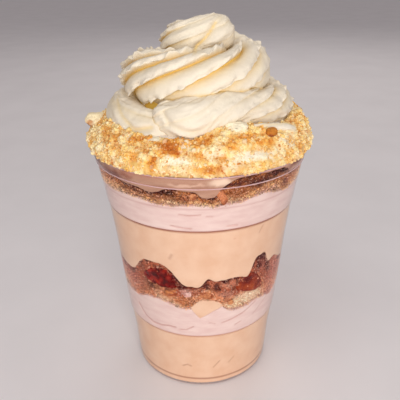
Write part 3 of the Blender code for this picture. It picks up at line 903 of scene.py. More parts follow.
def make_crumb_bed(name, bounds, material, node, seed, tones, gap_shade):
    """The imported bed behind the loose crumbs: a layer set back from the wall, pebbled all over."""
    low, high = (bound(FINE_BEARINGS) for bound in bounds)

    def lumps(points):
        return pebbled(points, COARSE_LUMP, seed), pebbled(points, FINE_LUMP, seed + 5)

    def relief(points):
        coarse, fine = lumps(points)
        return BED_DEPTH - coarse * 0.4 - fine * 0.4
    grid, _ = layer_grid(low, high, relief, FINE_BEARINGS, FINE_ROW_STEP)
    coarse, fine = lumps(grid)
    shade = ease(coarse * 0.6 + fine * 0.6, 0.35, 0.9)
    share = np.clip((grid[..., 2] - low) / (high - low), 0.0, 1.0)
    colours = tones(grid, share) * blend(np.array(gap_shade), np.ones(3), shade)
    return turned(name, grid, material, "soaked_crumbs", colours=colours, replaced=(node,))


SPILL_DOWN, SPILL_UP = 0.8, 0.3    # how far the loose crumbs pass their layer's edges


def wall_spots(count, low_of, high_of, sizes, sink, chance):
    """Random places for crumbs behind the wall, spilling a little over both edges of their layer.
    Returns their bearings, how far up the layer they are, and the places."""
    bearings = chance.uniform(-180.0, 180.0, count)
    low, high = low_of(bearings), high_of(bearings)
    span = high - low + SPILL_DOWN + SPILL_UP
    height = low - SPILL_DOWN + chance.uniform(0.0, 1.0, count) * span
    radius = cup_skin(height) - REACH - sizes * sink
    return bearings, (height - low) / (high - low), around(radius, height, bearings)


# ---- Pockets and chunks against the wall ----
# Edges of the pockets: bearing and height.
DOLLOP_FOOT = np.array((
    (-8.2, 50.6), (-7.4, 49.0), (-5.8, 46.9), (-3.2, 44.6), (-1.2, 42.9), (2.8, 44.5),
    (7.5, 46.6), (11.5, 47.9), (14.2, 49.6), (15.4, 50.6),
))
JAM_TOP = np.array((
    (-41.0, 61.9), (-40.2, 62.9), (-36.0, 65.8), (-30.9, 68.1), (-25.8, 68.6), (-21.2, 67.5),
    (-18.1, 65.7), (-15.9, 62.2), (-14.9, 60.6),
))
JAM_FOOT = np.array((
    (-41.0, 61.5), (-40.5, 61.0), (-37.4, 59.5), (-32.6, 58.4), (-27.3, 57.7), (-22.3, 57.6),
    (-18.8, 58.2), (-15.4, 59.6), (-14.9, 60.0),
))
CARAMEL_TOP = np.array((
    (22.6, 57.4), (23.1, 58.4), (24.9, 61.2), (29.1, 63.1), (33.6, 64.0), (38.9, 62.4),
    (43.8, 57.6), (46.2, 54.2),
))
CARAMEL_FOOT = np.array((
    (22.6, 56.6), (23.3, 56.0), (27.9, 54.2), (33.7, 53.0), (39.2, 52.2), (44.0, 52.6),
    (46.2, 53.6),
))


def read(route):
    """A route of bearings and heights as a function of bearing."""
    return lambda bearings: np.interp(bearings, *route.T)


def ragged(route, seed, height=0.3):
    """A boundary read from a route of bearings and heights, with a fine raggedness."""
    return lambda bearings: (
        read(route)(bearings) + height * rough(around(WALL_PATH, 0.0, bearings), 2.5, seed))


def hollow(foot, depth):
    """How far a layer is set back where a pocket with this foot lies in front of it."""
    def set_back(points):
        bearings = bearing_of(points)
        inside = (bearings > foot[0, 0]) & (bearings < foot[-1, 0])
        return depth * inside * ease(points[..., 2] - read(foot)(bearings), 0.0, 0.6)
    return set_back


def in_pool(points, top, foot, margin):
    """Whether a place lies in a pocket, further than the margin from its edge."""
    bearings, height = bearing_of(points), points[..., 2]
    inside = (bearings > top[0, 0] + margin) & (bearings < top[-1, 0] - margin)
    inside &= height < read(top)(bearings) - margin
    return inside & (height > read(foot)(bearings) + margin)


POCKET_ROWS, POCKET_COLUMNS = 50, 90
MM_PER_DEGREE = 0.68    # along the wall
POCKET_BACK = 1.0       # from a pocket's rim back to its flat back


def make_pocket(name, ends, low_of, high_of, thickness, relief, material, slot, node, values=None):
    """A pillow of filling on the wall, between two bearings and two heights: its face follows the
    wall, falls back round its rim by a quarter circle, and a flat back closes it."""
    across = np.linspace(0.0, 1.0, POCKET_COLUMNS)
    up = shares(POCKET_ROWS)
    bearings = ends[0] + across * (ends[1] - ends[0])
    low, high = low_of(bearings), high_of(bearings)
    height = low + up * (high - low)
    rim = np.minimum(np.minimum(across, 1.0 - across) * (ends[1] - ends[0]) * MM_PER_DEGREE,
                     np.minimum(up, 1.0 - up) * (high - low))
    radius = cup_skin(height) - REACH
    sunk = np.clip(relief(around(radius, height, bearings)), 0.0, None)
    face = around(radius - edge_fall(rim, thickness) - sunk, height, bearings)
    back = around(radius - thickness - POCKET_BACK, height, bearings)
    rows, columns = face.shape[:2]
    away = rows * columns
    index = np.arange(away).reshape(rows, columns)
    edge = np.concatenate([index[0], index[1:, -1], index[-1, -2::-1], index[-2:0:-1, 0]])
    after = np.roll(edge, -1)
    faces = [grid_faces(rows, columns, shut=False),
             grid_faces(rows, columns, first=away, shut=False)[:, ::-1],
             np.stack([after, edge, edge + away, after + away], axis=1)]
    fitted = {label: np.concatenate([data(face).ravel(), data(back).ravel()])
              for label, data in (values or {}).items()}
    return piece(name, np.concatenate([face, back]).reshape(-1, 3), faces, material, slot,
                 replaced=(node,), values=fitted)


def make_chunks(name, chunks, material, slot, seed):
    """Pieces of soaked biscuit against the wall: each a ball made lumpy, squared a little and
    stretched, with painted light: lighter towards its top and where it bulges."""
    shapes, faces = ball_shapes(3, len(chunks), seed)
    points, tints = [], []
    for shape, (bearing, height, wide, tall, deep, lean, dark, light) in zip(shapes, chunks):
        half_sizes = [wide / 2.0, deep / 2.0, tall / 2.0]
        shift = 7.0 * len(points)
        body, ball, lumps = lumpy_body(shape, half_sizes, shift, 1.2, 3, seed, 0.28, 0.8)
        c, s = np.cos(np.radians(lean)), np.sin(np.radians(lean))
        body = body @ np.array(((c, 0, s), (0, 1, 0), (-s, 0, c)))
        turn = np.radians(bearing)
        side = np.array((np.cos(turn), np.sin(turn), 0.0))
        out = np.array((np.sin(turn), -np.cos(turn), 0.0))
        spot = out * (cup_skin(height) - REACH - deep * 0.3) + [0.0, 0.0, height]
        points.append(spot + body[:, :1] * side - body[:, 1:2] * out + body[:, 2:] * UP)
        # Painted light: from the shaded tint below to the lit tint on top and on the bulges
        tints.append(blend(dark, light, ease(lumps + 0.4 * ball[:, 2], -0.7, 0.8)))
    points = np.stack(points)
    press_in(points, 0.11)
    return piece(name, *joined(points, faces), material, slot, colours=np.concatenate(tints))


RUSSET = linear(152, 80, 46)
CHUNKS = (    # bearing, height, width, height and depth of the piece, lean, and its shaded and its lit tint, painted shade and light
    (3.4, 56.2, 7.0, 4.4, 3.0, -18.0, linear(146, 72, 40), linear(222, 154, 104)),
    (-20.5, 56.0, 6.6, 3.6, 3.0, 10.0, linear(144, 64, 34), linear(214, 142, 88)),
    (19.6, 50.4, 3.0, 2.4, 2.2, 0.0, RUSSET, linear(222, 158, 104)),
    (10.6, 105.2, 3.4, 7.2, 2.6, 22.0, RUSSET, linear(206, 134, 90)),
    (-3.6, 105.6, 3.2, 3.2, 2.0, 20.0, linear(146, 76, 44), linear(216, 152, 104)),
    (-9.0, 56.2, 3.6, 2.4, 2.2, 10.0, linear(206, 150, 136), linear(238, 206, 196)),
)
WALL_CRUMBS = (    # name, count, radii, mesh fineness, bounds, tones, seed, contrast of shades
    ("soaked_crumb_dust", 7500, (0.2, 0.34), 1, LOWER_BOUNDS, lower_tones, 301, 0.85),
    ("soaked_crumbs_broken", 1500, (0.34, 0.6), 2, LOWER_BOUNDS, lower_tones, 302, 0.85),
    ("neck_crumb_dust", 6000, (0.2, 0.34), 1, UPPER_BOUNDS, upper_tones, 303, 1.25),
    ("neck_crumbs_broken", 900, (0.34, 0.56), 2, UPPER_BOUNDS, upper_tones, 304, 1.25),
)


def make_wall_crumbs(material):
    """Loose crumbs against the wall in both crumb layers, few of them inside the pools. Their
    shades differ by steps, less among the palest, and at the sides the darker ones are brightened
    as painted side light."""
    for name, count, (least, most), divisions, bounds, tones, seed, contrast in WALL_CRUMBS:
        chance = np.random.default_rng(seed)
        sizes = chance.uniform(least, most, count)
        bearings, share, spots = wall_spots(count, *bounds, sizes, 0.55, chance)
        shades = 1.0 + contrast * (chance.choice((0.45, 0.85, 1.0, 1.2), (count, 1)) - 1.0)
        tints = tones(spots, share)
        pale = ease(tints.mean(axis=1), 0.55, 0.8)
        # Painted side light: at the sides the darker crumbs are brought up towards the rest
        calm = np.maximum(0.5 * side_shade_share(bearings), 0.6 * pale)
        tints = np.clip(tints * (shades + (1.1 - shades) * calm[:, None]), 0.0, 1.0)
        tints = blend(tints, linear(240, 196, 172), 0.5 * (chance.uniform(size=count) < 0.22))
        pooled = in_pool(spots, JAM_TOP, JAM_FOOT, 0.3)
        pooled |= in_pool(spots, CARAMEL_TOP, CARAMEL_FOOT, 0.8)
        kept = ~pooled | (chance.uniform(size=count) < 0.08)
        scatter(name, kept, spots, sizes, tints, material, "soaked_crumbs", divisions, seed, True)


# ---- The mound and its coat of crumbs ----
# Patches of the neck's wall, given as for painted(): dark crumbs and paler streaks of cream, and
# towards the sides darker patches of painted shade under the coat's hem.
NECK_PATCHES_AND_SHADE = (
    (-50.0, 110.0, 7.0, 2.6, linear(120, 62, 48), 0.9),
    (-38.0, 111.5, 3.0, 1.6, linear(150, 92, 72), 0.7),
    (-12.0, 108.6, 2.4, 0.9, linear(190, 140, 112), 0.6),
    (60.0, 112.5, 8.0, 2.0, linear(110, 46, 44), 0.9),
    (9.5, 112.0, 4.0, 1.7, linear(246, 226, 202), 0.9),
    (-30.0, 113.4, 9.0, 0.8, linear(188, 134, 116), 0.7),
    (-6.0, 110.8, 6.0, 0.7, linear(238, 206, 182), 0.7),
    (-72.0, 111.5, 9.0, 3.4, linear(96, 44, 46), 0.9),
    (95.0, 111.0, 10.0, 2.0, linear(136, 76, 62), 0.7),
)
NECK_TOP, NECK_RADIUS = 117.0, 47.3    # where the neck's wall ends, and its widest
NECK_ROWS, DOME_ROWS = 22, 40
DOME_RADII = (46.9, 6.0)


def make_mound(material):
    """The cream from the upper crumbs to the mound's top: a wall against the cup, then a dome."""
    low = boundary(CREAM_CAP_BOTTOM, seed=61, ragged=0.35)
    height = low + shares(NECK_ROWS) * (NECK_TOP - low)
    radius = np.minimum(cup_skin(height) - REACH, NECK_RADIUS)
    neck = around(radius - edge_fall(height - low, EDGE_ROUND), height)
    under = cap_rows(low, CREAM_CAP_BOTTOM[0], -CAP_OVERLAP)
    radii = np.linspace(*DOME_RADII, DOME_ROWS)[:, None]
    dome = around(radii, mound_height(radii))
    grid = np.concatenate([under, neck, dome])
    streaks = drift(grid * [0.12, 0.12, 1.0], 0.9, 65)
    # Painted shade: the cream in the neck, under the coat's hem, is tinted far darker than the same
    # cream on the mound's top
    pressed = blend(linear(176, 136, 114), linear(198, 161, 137), 0.5 + 0.5 * streaks)
    # The patches add dark crumbs, and painted shade towards the sides
    pressed = painted(grid, pressed, NECK_PATCHES_AND_SHADE, 540)
    tints = blend(pressed, linear(244, 234, 222), ease(grid[..., 2], 115.0, 120.0))
    return turned("mound_cream", grid, material, "whipped_cream", colours=tints,
                  replaced=("cream_cap",))


COAT_OUTLINE = np.array((    # radius and height, from the coat's inner edge down to its hem
    (38.9, 127.4), (40.7, 127.6), (43.5, 126.0), (45.8, 123.8), (47.8, 121.7), (49.2, 119.5),
    (49.9, 117.4), (49.9, 115.6), (49.6, 114.8),
))
# Patches where cream shows and where crumbs are warmer: bearing, height, half sizes, strength.
COAT_CREAM = (
    (-24.4, 127.1, 2.5, 1.5, 1.0), (-6.8, 125.6, 1.6, 2.2, 0.8), (-10.2, 120.4, 5.6, 1.6, 0.95),
    (-40.0, 125.8, 1.6, 1.0, 0.6), (2.0, 124.6, 2.4, 1.2, 0.7), (6.8, 122.9, 3.4, 1.5, 0.6),
    (24.8, 121.2, 6.5, 1.9, 0.95), (34.0, 119.8, 4.0, 1.4, 0.6), (45.0, 124.1, 2.2, 1.2, 0.8),
    (14.0, 119.6, 4.0, 1.5, 0.6), (-19.0, 117.6, 5.0, 1.0, 0.5), (50.0, 121.0, 3.0, 1.4, 0.5),
    (47.0, 123.4, 5.0, 2.4, 0.35),
)
COAT_WARMTH = (
    (-15.6, 124.6, 4.0, 2.0, 0.55), (-13.2, 123.2, 3.6, 2.0, 0.5), (-20.7, 120.4, 2.6, 2.0, 0.15),
    (-36.8, 126.0, 4.2, 1.3, 0.4), (-11.1, 127.4, 3.2, 1.2, 0.45), (-37.0, 121.2, 4.4, 2.0, 0.2),
    (0.8, 127.2, 4.4, 1.8, 0.5), (15.2, 124.6, 2.4, 1.5, 0.55), (25.8, 127.0, 3.0, 1.4, 0.45),
    (33.1, 124.5, 4.4, 1.6, 0.45), (1.6, 118.0, 3.6, 1.3, 0.4), (7.9, 117.2, 4.0, 1.6, 0.6),
    (18.7, 126.6, 4.0, 1.6, 0.3), (-58.2, 124.7, 3.0, 1.6, 0.35), (-49.0, 123.9, 3.0, 2.0, 0.3),
    (-24.0, 117.8, 4.0, 1.6, 0.3),
)


COAT_STOPS = (0.0, 0.36, 0.68, 1.0)    # warmth of pale, biscuit, golden and toasted crumbs
CREAM_SEED, WARMTH_SEED = 500, 520


def coat_reach(bearings):
    """Millimetres that the coat reaches further in, at the front on the right."""
    return 7.0 * ease(bearings, -1.0, 8.0) * (1.0 - ease(bearings, 34.0, 52.0))


def coat_surface(share, bearings):
    """Points of the coat's outer face: along its outline by share, swelling and dipping."""
    lengths = lengths_along(COAT_OUTLINE)
    at = share * lengths[-1]
    outline = np.interp(at, lengths, COAT_OUTLINE[:, 0])
    radius = outline - coat_reach(bearings) * (1.0 - share) ** 2
    height = np.interp(at, lengths, COAT_OUTLINE[:, 1]) + mound_height(radius, bearings)
    height = height - np.interp(outline, *MOUND.T) + 0.15 * (outline - radius)
    radius, height, bearings = np.broadcast_arrays(radius, height, bearings)
    points = around(radius, height, bearings)
    swell = drifts(points, 71, (0.5, 9.0), (0.3, 4.0))
    lean = ease(share, 0.2, 0.8)
    radius = radius + swell * lean
    height = height + swell * (1.0 - lean)
    hem = ease(share, 0.9, 1.0) * 0.6 * drift(around(50.0, 0.0, bearings), 3.0, 73)
    return around(radius, height + hem, bearings)


def patchiness(points, patches, seed):
    """The total strength of ragged patches, each given by bearing, height, half sizes, strength."""
    amounts = [(*patch[:4], np.ones(1), patch[4]) for patch in patches]
    return painted(points, np.zeros((*points.shape[:-1], 1)), amounts, seed)[..., 0]


def strewn(points, height, spacing, seed, least, most):
    """Patches of this height strewn round the sides and back, none in front: rough noise eased
    from least to most."""
    away = np.abs(bearing_of(points))
    return height * ease(rough(points, spacing, seed), least, most) * ease(away, 50.0, 75.0)


def cream_show(points):
    """How far the cream shows between the coat's crumbs, 0 to 1: strewn, and in given patches."""
    behind = strewn(points, 0.8, 6.0, 81, 0.35, 0.75)
    return np.maximum(behind, patchiness(points, COAT_CREAM, CREAM_SEED))


def coat_tones(points):
    """Colours of the coat: straw, golden and toasted by soft clumps and by warm patches."""
    clumps = 0.3 * rough(points, 4.5, 85) + 0.2 * rough(points, 1.5, 88, 2)
    behind = strewn(points, 0.5, 7.0, 91, 0.2, 0.8)
    warmth = 0.3 + clumps + np.maximum(behind, patchiness(points, COAT_WARMTH, WARMTH_SEED))
    warmth = np.clip(warmth, 0.0, 1.0)
    channels = np.transpose([PALE, BISCUIT, GOLDEN, TOASTED])
    return np.stack([np.interp(warmth, COAT_STOPS, channel) for channel in channels], axis=-1)


def coat_out(points, share):
    """The way that the coat faces at a share down it: upwards at first, then outwards."""
    flat = points * [1.0, 1.0, 0.0]
    lean = ease(share, 0.15, 0.7)[..., None]
    return flat / np.linalg.norm(flat, axis=-1, keepdims=True) * lean + UP * (1.0 - lean)


def coat_relief(points):
    """Millimetres that the crust stands in or out: big clumps and small lumps, flatter in cream."""
    lumps = 1.7 * pebbled(points, 3.6, 91) + 0.8 * pebbled(points, 1.4, 95)
    show = cream_show(points)
    return lumps * (1.0 - 0.5 * show) + 0.7 * show - 1.9


COAT_ROWS = 74
# The coat's inner face: radius and height over the cup's rim, then radii just inside the cream.
RIM_SIDE = ((49.1, 115.0), (49.2, 118.3), (47.2, 119.2))
CREAM_SIDE, CREAM_SIDE_END = (45.3, 42.0), 38.6
COAT_SUNK = 0.3


def make_coat_bed(material):
    """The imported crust: its pebbled outer face, the hem, and an inner face over the cup's rim."""
    share = shares(COAT_ROWS)
    smooth = coat_surface(share, FINE_BEARINGS)
    outer = smooth + coat_out(smooth, share) * coat_relief(smooth)[..., None]
    radii = (*CREAM_SIDE, CREAM_SIDE_END - coat_reach(FINE_BEARINGS))
    sunk = [(radius, mound_height(radius, FINE_BEARINGS) - COAT_SUNK) for radius in radii]
    inner = np.stack([around(radius, height, FINE_BEARINGS)
                      for radius, height in (*RIM_SIDE, *sunk)])
    grid = np.concatenate([outer, inner])
    rows, columns = grid.shape[:2]
    bare = np.concatenate([smooth, inner])
    shade = ease(coat_relief(bare), -1.3, -0.3)
    crumbs = coat_tones(bare) * blend(np.array((0.82, 0.58, 0.32)), np.ones(3), shade)
    tints = blend(crumbs, linear(250, 243, 220), cream_show(bare) * 0.97)
    faces = grid_faces(rows, columns, looped=True)[:, ::-1]
    return piece("crumb_crust", grid.reshape(-1, 3), [faces], material, "cookie_crumbs",
                 colours=tints.reshape(-1, 3), replaced=("crumb_coat",))


def coat_spots(count, chance, sizes, sink):
    """Random places on the coat's face. Returns which are kept, fewer where the cream shows, how
    deep in a gap each lies, and the places."""
    bearings = chance.uniform(-180.0, 180.0, count)
    share = chance.uniform(0.0, 1.0, count)
    points = coat_surface(share, bearings)
    kept = chance.uniform(size=count) > 0.94 * cream_show(points)
    height = coat_relief(points)
    gaps = 1.0 - ease(height, -1.2, -0.2)
    return kept, gaps, points + coat_out(points, share) * (height + sizes * sink)[:, None]


COAT_CRUMBS = (    # name, how many, smallest and largest radius, fineness of the mesh
    ("crumb_dust", 6000, (0.2, 0.34), 1),
    ("fine_crumbs", 9900, (0.3, 0.52), 1),
    ("broken_crumbs", 2000, (0.45, 0.8), 2),
    ("crumb_lumps", 300, (0.65, 1.15), 2),
)


def make_coat_crumbs(material):
    """Loose crumbs on the coat: dust, fine grains, broken pieces and a few larger lumps."""
    for order, (name, count, (least, most), divisions) in enumerate(COAT_CRUMBS):
        chance = np.random.default_rng(200 + order)
        sizes = least + (most - least) * chance.power(0.7, count)
        kept, gaps, spots = coat_spots(count, chance, sizes, 0.2)
        tints = blend(coat_tones(spots), TOASTED, 0.7 * (chance.uniform(size=count) < 0.14))
        warm = np.clip(patchiness(spots, COAT_WARMTH, WARMTH_SEED), 0.0, 1.0)
        pale = 0.7 * (1.0 - 0.9 * warm)
        tints = blend(tints, PALE, pale * (chance.uniform(size=count) < 0.25))
        # Painted shade: crumbs deep in a gap of the crust are darker and browner
        tints = tints * blend(np.ones(3), np.array((0.84, 0.6, 0.36)), gaps)
        scatter(name, kept, spots, sizes, tints, material, "cookie_crumbs", divisions, 30 + order)


def make_lump(name, centre, half_sizes, lean, dark, light, material, slot, seed, replaced=(),
              lumpy=0.22, square=0.85):
    """A loose piece: a ball made lumpy, squared a little, stretched and turned round."""
    (shape,), faces = ball_shapes(4, 1, seed)
    body, ball, lumps = lumpy_body(shape, half_sizes, 0.0, 1.1, 4, seed, lumpy, square)
    c, s = np.cos(np.radians(lean)), np.sin(np.radians(lean))
    body = body @ np.array(((c, s, 0), (-s, c, 0), (0, 0, 1)))
    # Painted light: lighter towards the top and on the bulges; the dark tint below is painted shade
    tints = blend(dark, light, ease(0.9 * ball[:, 2] + 0.5 * lumps, -0.7, 0.35))
    return piece(name, body + centre, [faces], material, slot, colours=tints, replaced=replaced)


# ---- The piped swirl ----
def smooth_table(table, at):
    """Each column of a table read at new first-column values, by cubics with matched slopes."""
    knots = np.array(table, dtype=float)
    x, y = knots[:, 0], knots[:, 1:]
    slopes = np.gradient(y, x, axis=0)
    index = np.clip(np.searchsorted(x, at, side="right") - 1, 0, len(x) - 2)
    span = (x[index + 1] - x[index])[:, None]
    t = (at - x[index])[:, None] / span
    start = y[index] * (1 + 2 * t) * (1 - t) ** 2 + slopes[index] * span * t * (1 - t) ** 2
    end = y[index + 1] * t**2 * (3 - 2 * t) - slopes[index + 1] * span * t**2 * (1 - t)
    return start + end


def rope_path(table, step):
    """Middles, radii, turns and distances at equal steps along a rope given by its table."""
    turn = np.linspace(table[0][0], table[-1][0], 1200)
    ring_radius, height, radius = smooth_table(table, turn).T
    angle = np.radians(turn)
    middle = np.column_stack([ring_radius * np.cos(angle), ring_radius * np.sin(angle), height])
    length = lengths_along(middle)
    at = np.linspace(0.0, length[-1], int(length[-1] / step))
    middle = np.column_stack([np.interp(at, length, middle[:, axis]) for axis in range(3)])
    turn = np.interp(at, length, turn)
    return middle, np.interp(at, length, radius), turn, at


RIB_STEPS = np.array((    # places of the mesh's columns across a rib, closer at its crest
    0.0, 0.04, 0.08, 0.12, 0.155, 0.185, 0.21, 0.235, 0.26, 0.29, 0.33, 0.38, 0.44, 0.5, 0.56,
    0.62, 0.68, 0.74, 0.8, 0.86, 0.91, 0.96,
))
CREST = 0.235         # where a rib is highest, and how wide that crest is
CREST_WIDTH = 0.13
FULL_DEPTH = 0.3      # the groove depth from which a crest leans and tears in full
ROPE_STEP = 0.7
OWN_STRETCH = 27.0    # stretches of a rope nearer than this along it don't shade each other


def rib(phase):
    """Height of a star rib across its width, 0 to 1: a steep rise to a crest, then a broad face
    that falls away ever faster."""
    rise = np.sin(0.5 * np.pi * np.clip(phase / CREST, 0.0, 1.0))
    fall = 1.0 - np.clip((phase - CREST) / (1.0 - CREST), 0.0, 1.0) ** 2.2
    return np.where(phase < CREST, rise, fall)


def crevice_shade(points, own_at, paths, apart):
    """How close points come to the ropes' other stretches: 1 on their skin, 0 from 3 mm off. It
    sets the painted shade in the crevices between turns.

    own_at holds each row's distance along the first path, whose stretches less than apart away
    are left out.
    """
    gap = np.full(points.shape[:-1], 9.0)
    for count, (middle, radius, at) in enumerate(paths):
        for spot, reach, along in zip(middle[::4], radius[::4], at[::4]):
            rows = np.abs(own_at - along) > apart if count == 0 else slice(None)
            away = np.linalg.norm(points[rows] - spot, axis=-1)
            gap[rows] = np.minimum(gap[rows], away - 0.8 * reach)
    return 1.0 - ease(gap, 0.0, 3.0)


def stroked(points, strokes):
    """Carves or raises the front of a rope along lines of x and z: a point in front of y = back
    moves back by depth, fading over width. Returns the points and the share of painted groove shade
    on each, set by each stroke's tint."""
    carved = np.zeros(points.shape[:-1])
    for route, width, depth, back, tint in strokes:
        nearest = line_distance(points[..., 0], points[..., 2], route)
        felt = np.exp(-((nearest / width) ** 2)) * (points[..., 1] < back)
        points = points + (felt * depth)[..., None] * [0.0, 1.0, 0.0]
        carved = np.maximum(carved, tint * felt**2)
    return points, carved


# A stroke: its line, its width, its depth, the y in front of which it acts, and its tint, the share
# of painted groove shade along it.
FIRST_STROKES = (
    (((-36.5, 133.6), (-33.0, 129.4), (-26.5, 125.2), (-18.7, 127.1)), 0.8, -1.5, -6.0, 0.0),
    (((-34.0, 135.0), (-31.0, 131.2), (-25.6, 127.2), (-18.6, 128.9)), 1.0, 1.2, -6.0, 0.45),
)
MAIN_STROKES = (
    (((-14.6, 133.9), (-12.9, 130.1), (-6.6, 127.7), (-2.4, 127.2)), 0.8, -1.0, -22.0, 0.0),
    (((-13.4, 135.4), (-11.4, 131.6), (-5.6, 129.5), (-1.0, 129.1)), 0.9, 0.9, -22.0, 0.15),
    (((6.6, 164.6), (5.0, 162.0), (2.2, 158.9), (-1.4, 155.9)), 0.8, 1.6, -2.0, 0.7),
    (((8.6, 166.6), (5.0, 162.0), (0.4, 157.0)), 2.4, 1.2, -2.0, 0.15),
)


def make_rope(name, table, start_angle, twist, ribs, depths, smears, material,
              others=(), strokes=(), replaced=()):
    """A rope of cream piped through a star tip, swept along its turns and rounded at both ends.

    Its radius at an angle is R (1 - depth (1 - rib)). The mesh's columns follow the ribs, which
    turn by twist degrees a millimetre; a crest leans down over the groove below it and is torn.
    depths and smears are tables of turn against groove depth and against millimetres of smearing.
    """
    middle, radius, turn, at = rope_path(table, ROPE_STEP)
    depth = np.interp(turn, *depths)
    smear = np.interp(turn, *smears)
    out = np.column_stack([np.cos(np.radians(turn)), np.sin(np.radians(turn)), np.zeros_like(turn)])
    along = np.gradient(middle, axis=0)
    along /= np.linalg.norm(along, axis=1, keepdims=True)
    first = out - (out * along).sum(axis=1, keepdims=True) * along
    first /= np.linalg.norm(first, axis=1, keepdims=True)
    second = np.cross(first, along)
    path = (middle, radius, at)
    caps = np.radians(np.linspace(84.0, 8.0, 12))
    head = middle[:1] - along[:1] * (radius[0] * np.sin(caps))[:, None]
    tail = middle[-1:] + along[-1:] * (radius[-1] * np.sin(caps[::-1]))[:, None]

    def capped(values, start=None, end=None):
        """Values along the rope with rows for its rounded ends added, by default copies."""
        count = len(caps)
        start = np.repeat(values[:1], count, axis=0) if start is None else start
        end = np.repeat(values[-1:], count, axis=0) if end is None else end
        return np.concatenate([start, values, end])
    scale = capped(np.ones_like(radius), np.cos(caps), np.cos(caps[::-1]))
    at = capped(at, at[0] - radius[0] * np.sin(caps), at[-1] + radius[-1] * np.sin(caps[::-1]))
    middle = capped(middle, head, tail)
    first, second, depth, smear, radius = (
        capped(values) for values in (first, second, depth, smear, radius))

    phase = np.tile(RIB_STEPS, ribs)
    height = rib(phase)
    start = np.repeat(np.arange(ribs), len(RIB_STEPS)) * 360.0 / ribs
    angle = start_angle + twist * at[:, None] + start + phase * 360.0 / ribs
    crest = np.exp(-(((phase - CREST) / CREST_WIDTH) ** 2))
    crest = crest * np.clip(depth / FULL_DEPTH, 0.0, 1.0)[:, None]
    edge = np.stack(np.broadcast_arrays(at[:, None], start, 0.0), axis=-1)
    angle = angle + crest * drifts(edge, 49, (3.0, 2.6), (2.0, 1.3))
    lean = 12.0 * (depth / FULL_DEPTH)[:, None]
    sweep = np.radians(angle - lean * (height - 0.5))
    arm = np.cos(sweep)[..., None] * first[:, None] + np.sin(sweep)[..., None] * second[:, None]
    reach = (radius * scale)[:, None] * (1.0 - depth[:, None] * (1.0 - height))
    grid = middle[:, None] + arm * reach[..., None]
    torn = 3.8 * (pebbled(grid, 4.8, 41) - 0.58) + 0.8 * drift(grid, 1.6, 42)
    swell = drifts(grid, 43, (0.5, 9.0), (0.14, 2.4))
    arc = np.radians(angle) * radius[:, None]
    flow = np.stack(np.broadcast_arrays(at[:, None] / 4.0, arc, 0.0 * arc), axis=-1)
    streaks = smear[:, None] * drifts(flow, 45, (0.7, 3.0), (0.4, 1.4))
    untwisted = arc - np.radians(twist * at * radius)[:, None]
    comb = np.stack(np.broadcast_arrays(at[:, None] / 7.0, untwisted, 5.0), axis=-1)
    streaks = streaks + 0.22 * drift(comb, 1.3, 47) + 0.16 * drift(grid, 1.1, 48)
    grid = grid + arm * ((torn * crest + swell + streaks) * scale[:, None])[..., None]
    grid, carved = stroked(grid, strokes)
    # Painted shade: the groove attribute tints the lower part of each rib, and the crevices near
    # other turns, deep ochre
    groove = (1.0 - height) ** 1.6 * np.clip(depth / FULL_DEPTH, 0.12, 1.0)[:, None]
    close = crevice_shade(grid, at, (path, *others), OWN_STRETCH)
    groove = np.clip(np.maximum(np.maximum(groove, 0.9 * close), carved), 0.0, 1.0)
    turned(name, grid, material, "whipped_cream", values={"groove": groove}, replaced=replaced)
    return path


CORE_OUTLINE = np.array((
    (27.0, 125.5), (28.5, 128.0), (26.0, 132.5), (22.5, 137.0), (17.0, 142.0), (13.0, 147.0),
    (8.0, 151.0), (4.0, 155.0), (1.0, 157.0),
))


def make_core(material):
    """The cream inside the swirl's turns: a rounded cone that closes the gaps between them."""
    grid = around(CORE_OUTLINE[:, :1], CORE_OUTLINE[:, 1:], BEARINGS[::4])
    # Painted shade: the whole core takes the groove attribute at 1, the deep ochre and glow of the
    # crevices
    groove = np.ones(grid.shape[:2])
    return turned("swirl_core", grid, material, "whipped_cream", values={"groove": groove})


# ---- Stage ----
# The camera's place in millimetres, its turns in radians and its lens on a 36 mm sensor.
CAMERA_DISTANCE = 231.853
CAMERA_HEIGHT = 189.330
CAMERA_PITCH = 0.42774
CAMERA_ROLL = -0.012584
CAMERA_YAW = 0.000715
CAMERA_LENS = 48.2874


def add_camera():
    """The camera stands in front of the cup and looks down on it."""
    data = bpy.data.cameras.new("camera")
    data.sensor_width = 36.0
    data.lens = CAMERA_LENS
    data.clip_start = 0.01
    camera = put("camera", data)
    camera.matrix_world = (
        Matrix.Translation((0.0, -CAMERA_DISTANCE * MM, CAMERA_HEIGHT * MM))
        @ Matrix.Rotation(CAMERA_YAW, 4, "Z")
        @ Matrix.Rotation(np.pi / 2.0 - CAMERA_PITCH, 4, "X")
        @ Matrix.Rotation(CAMERA_ROLL, 4, "Z")
    )
    bpy.context.scene.camera = camera


LIGHTS = (    # name, place and side in metres, power in watts, colour
    ("front_light", (0.1, -0.85, 0.32), 0.45, 5.4, (1.0, 0.99, 0.97)),
    ("top_light", (-0.25, -0.35, 0.8), 0.5, 1.0, (1.0, 1.0, 0.96)),
    ("back_light", (0.2, 0.8, 0.8), 0.6, 2.2, (1.0, 0.95, 0.9)),
)
CUP_MIDDLE = (0.0, 0.0, 0.09)
FLOOR_REACH = 3.0


def add_light(name, place, size, power, colour):
    """A square soft light aimed at the middle of the cup."""
    data = bpy.data.lights.new(name, "AREA")
    data.size = size
    data.energy = power
    data.color = colour
    light = put(name, data)
    aim = Vector(CUP_MIDDLE) - Vector(place)
    turn = aim.to_track_quat("-Z", "Y").to_matrix().to_4x4()
    light.matrix_world = Matrix.Translation(place) @ turn


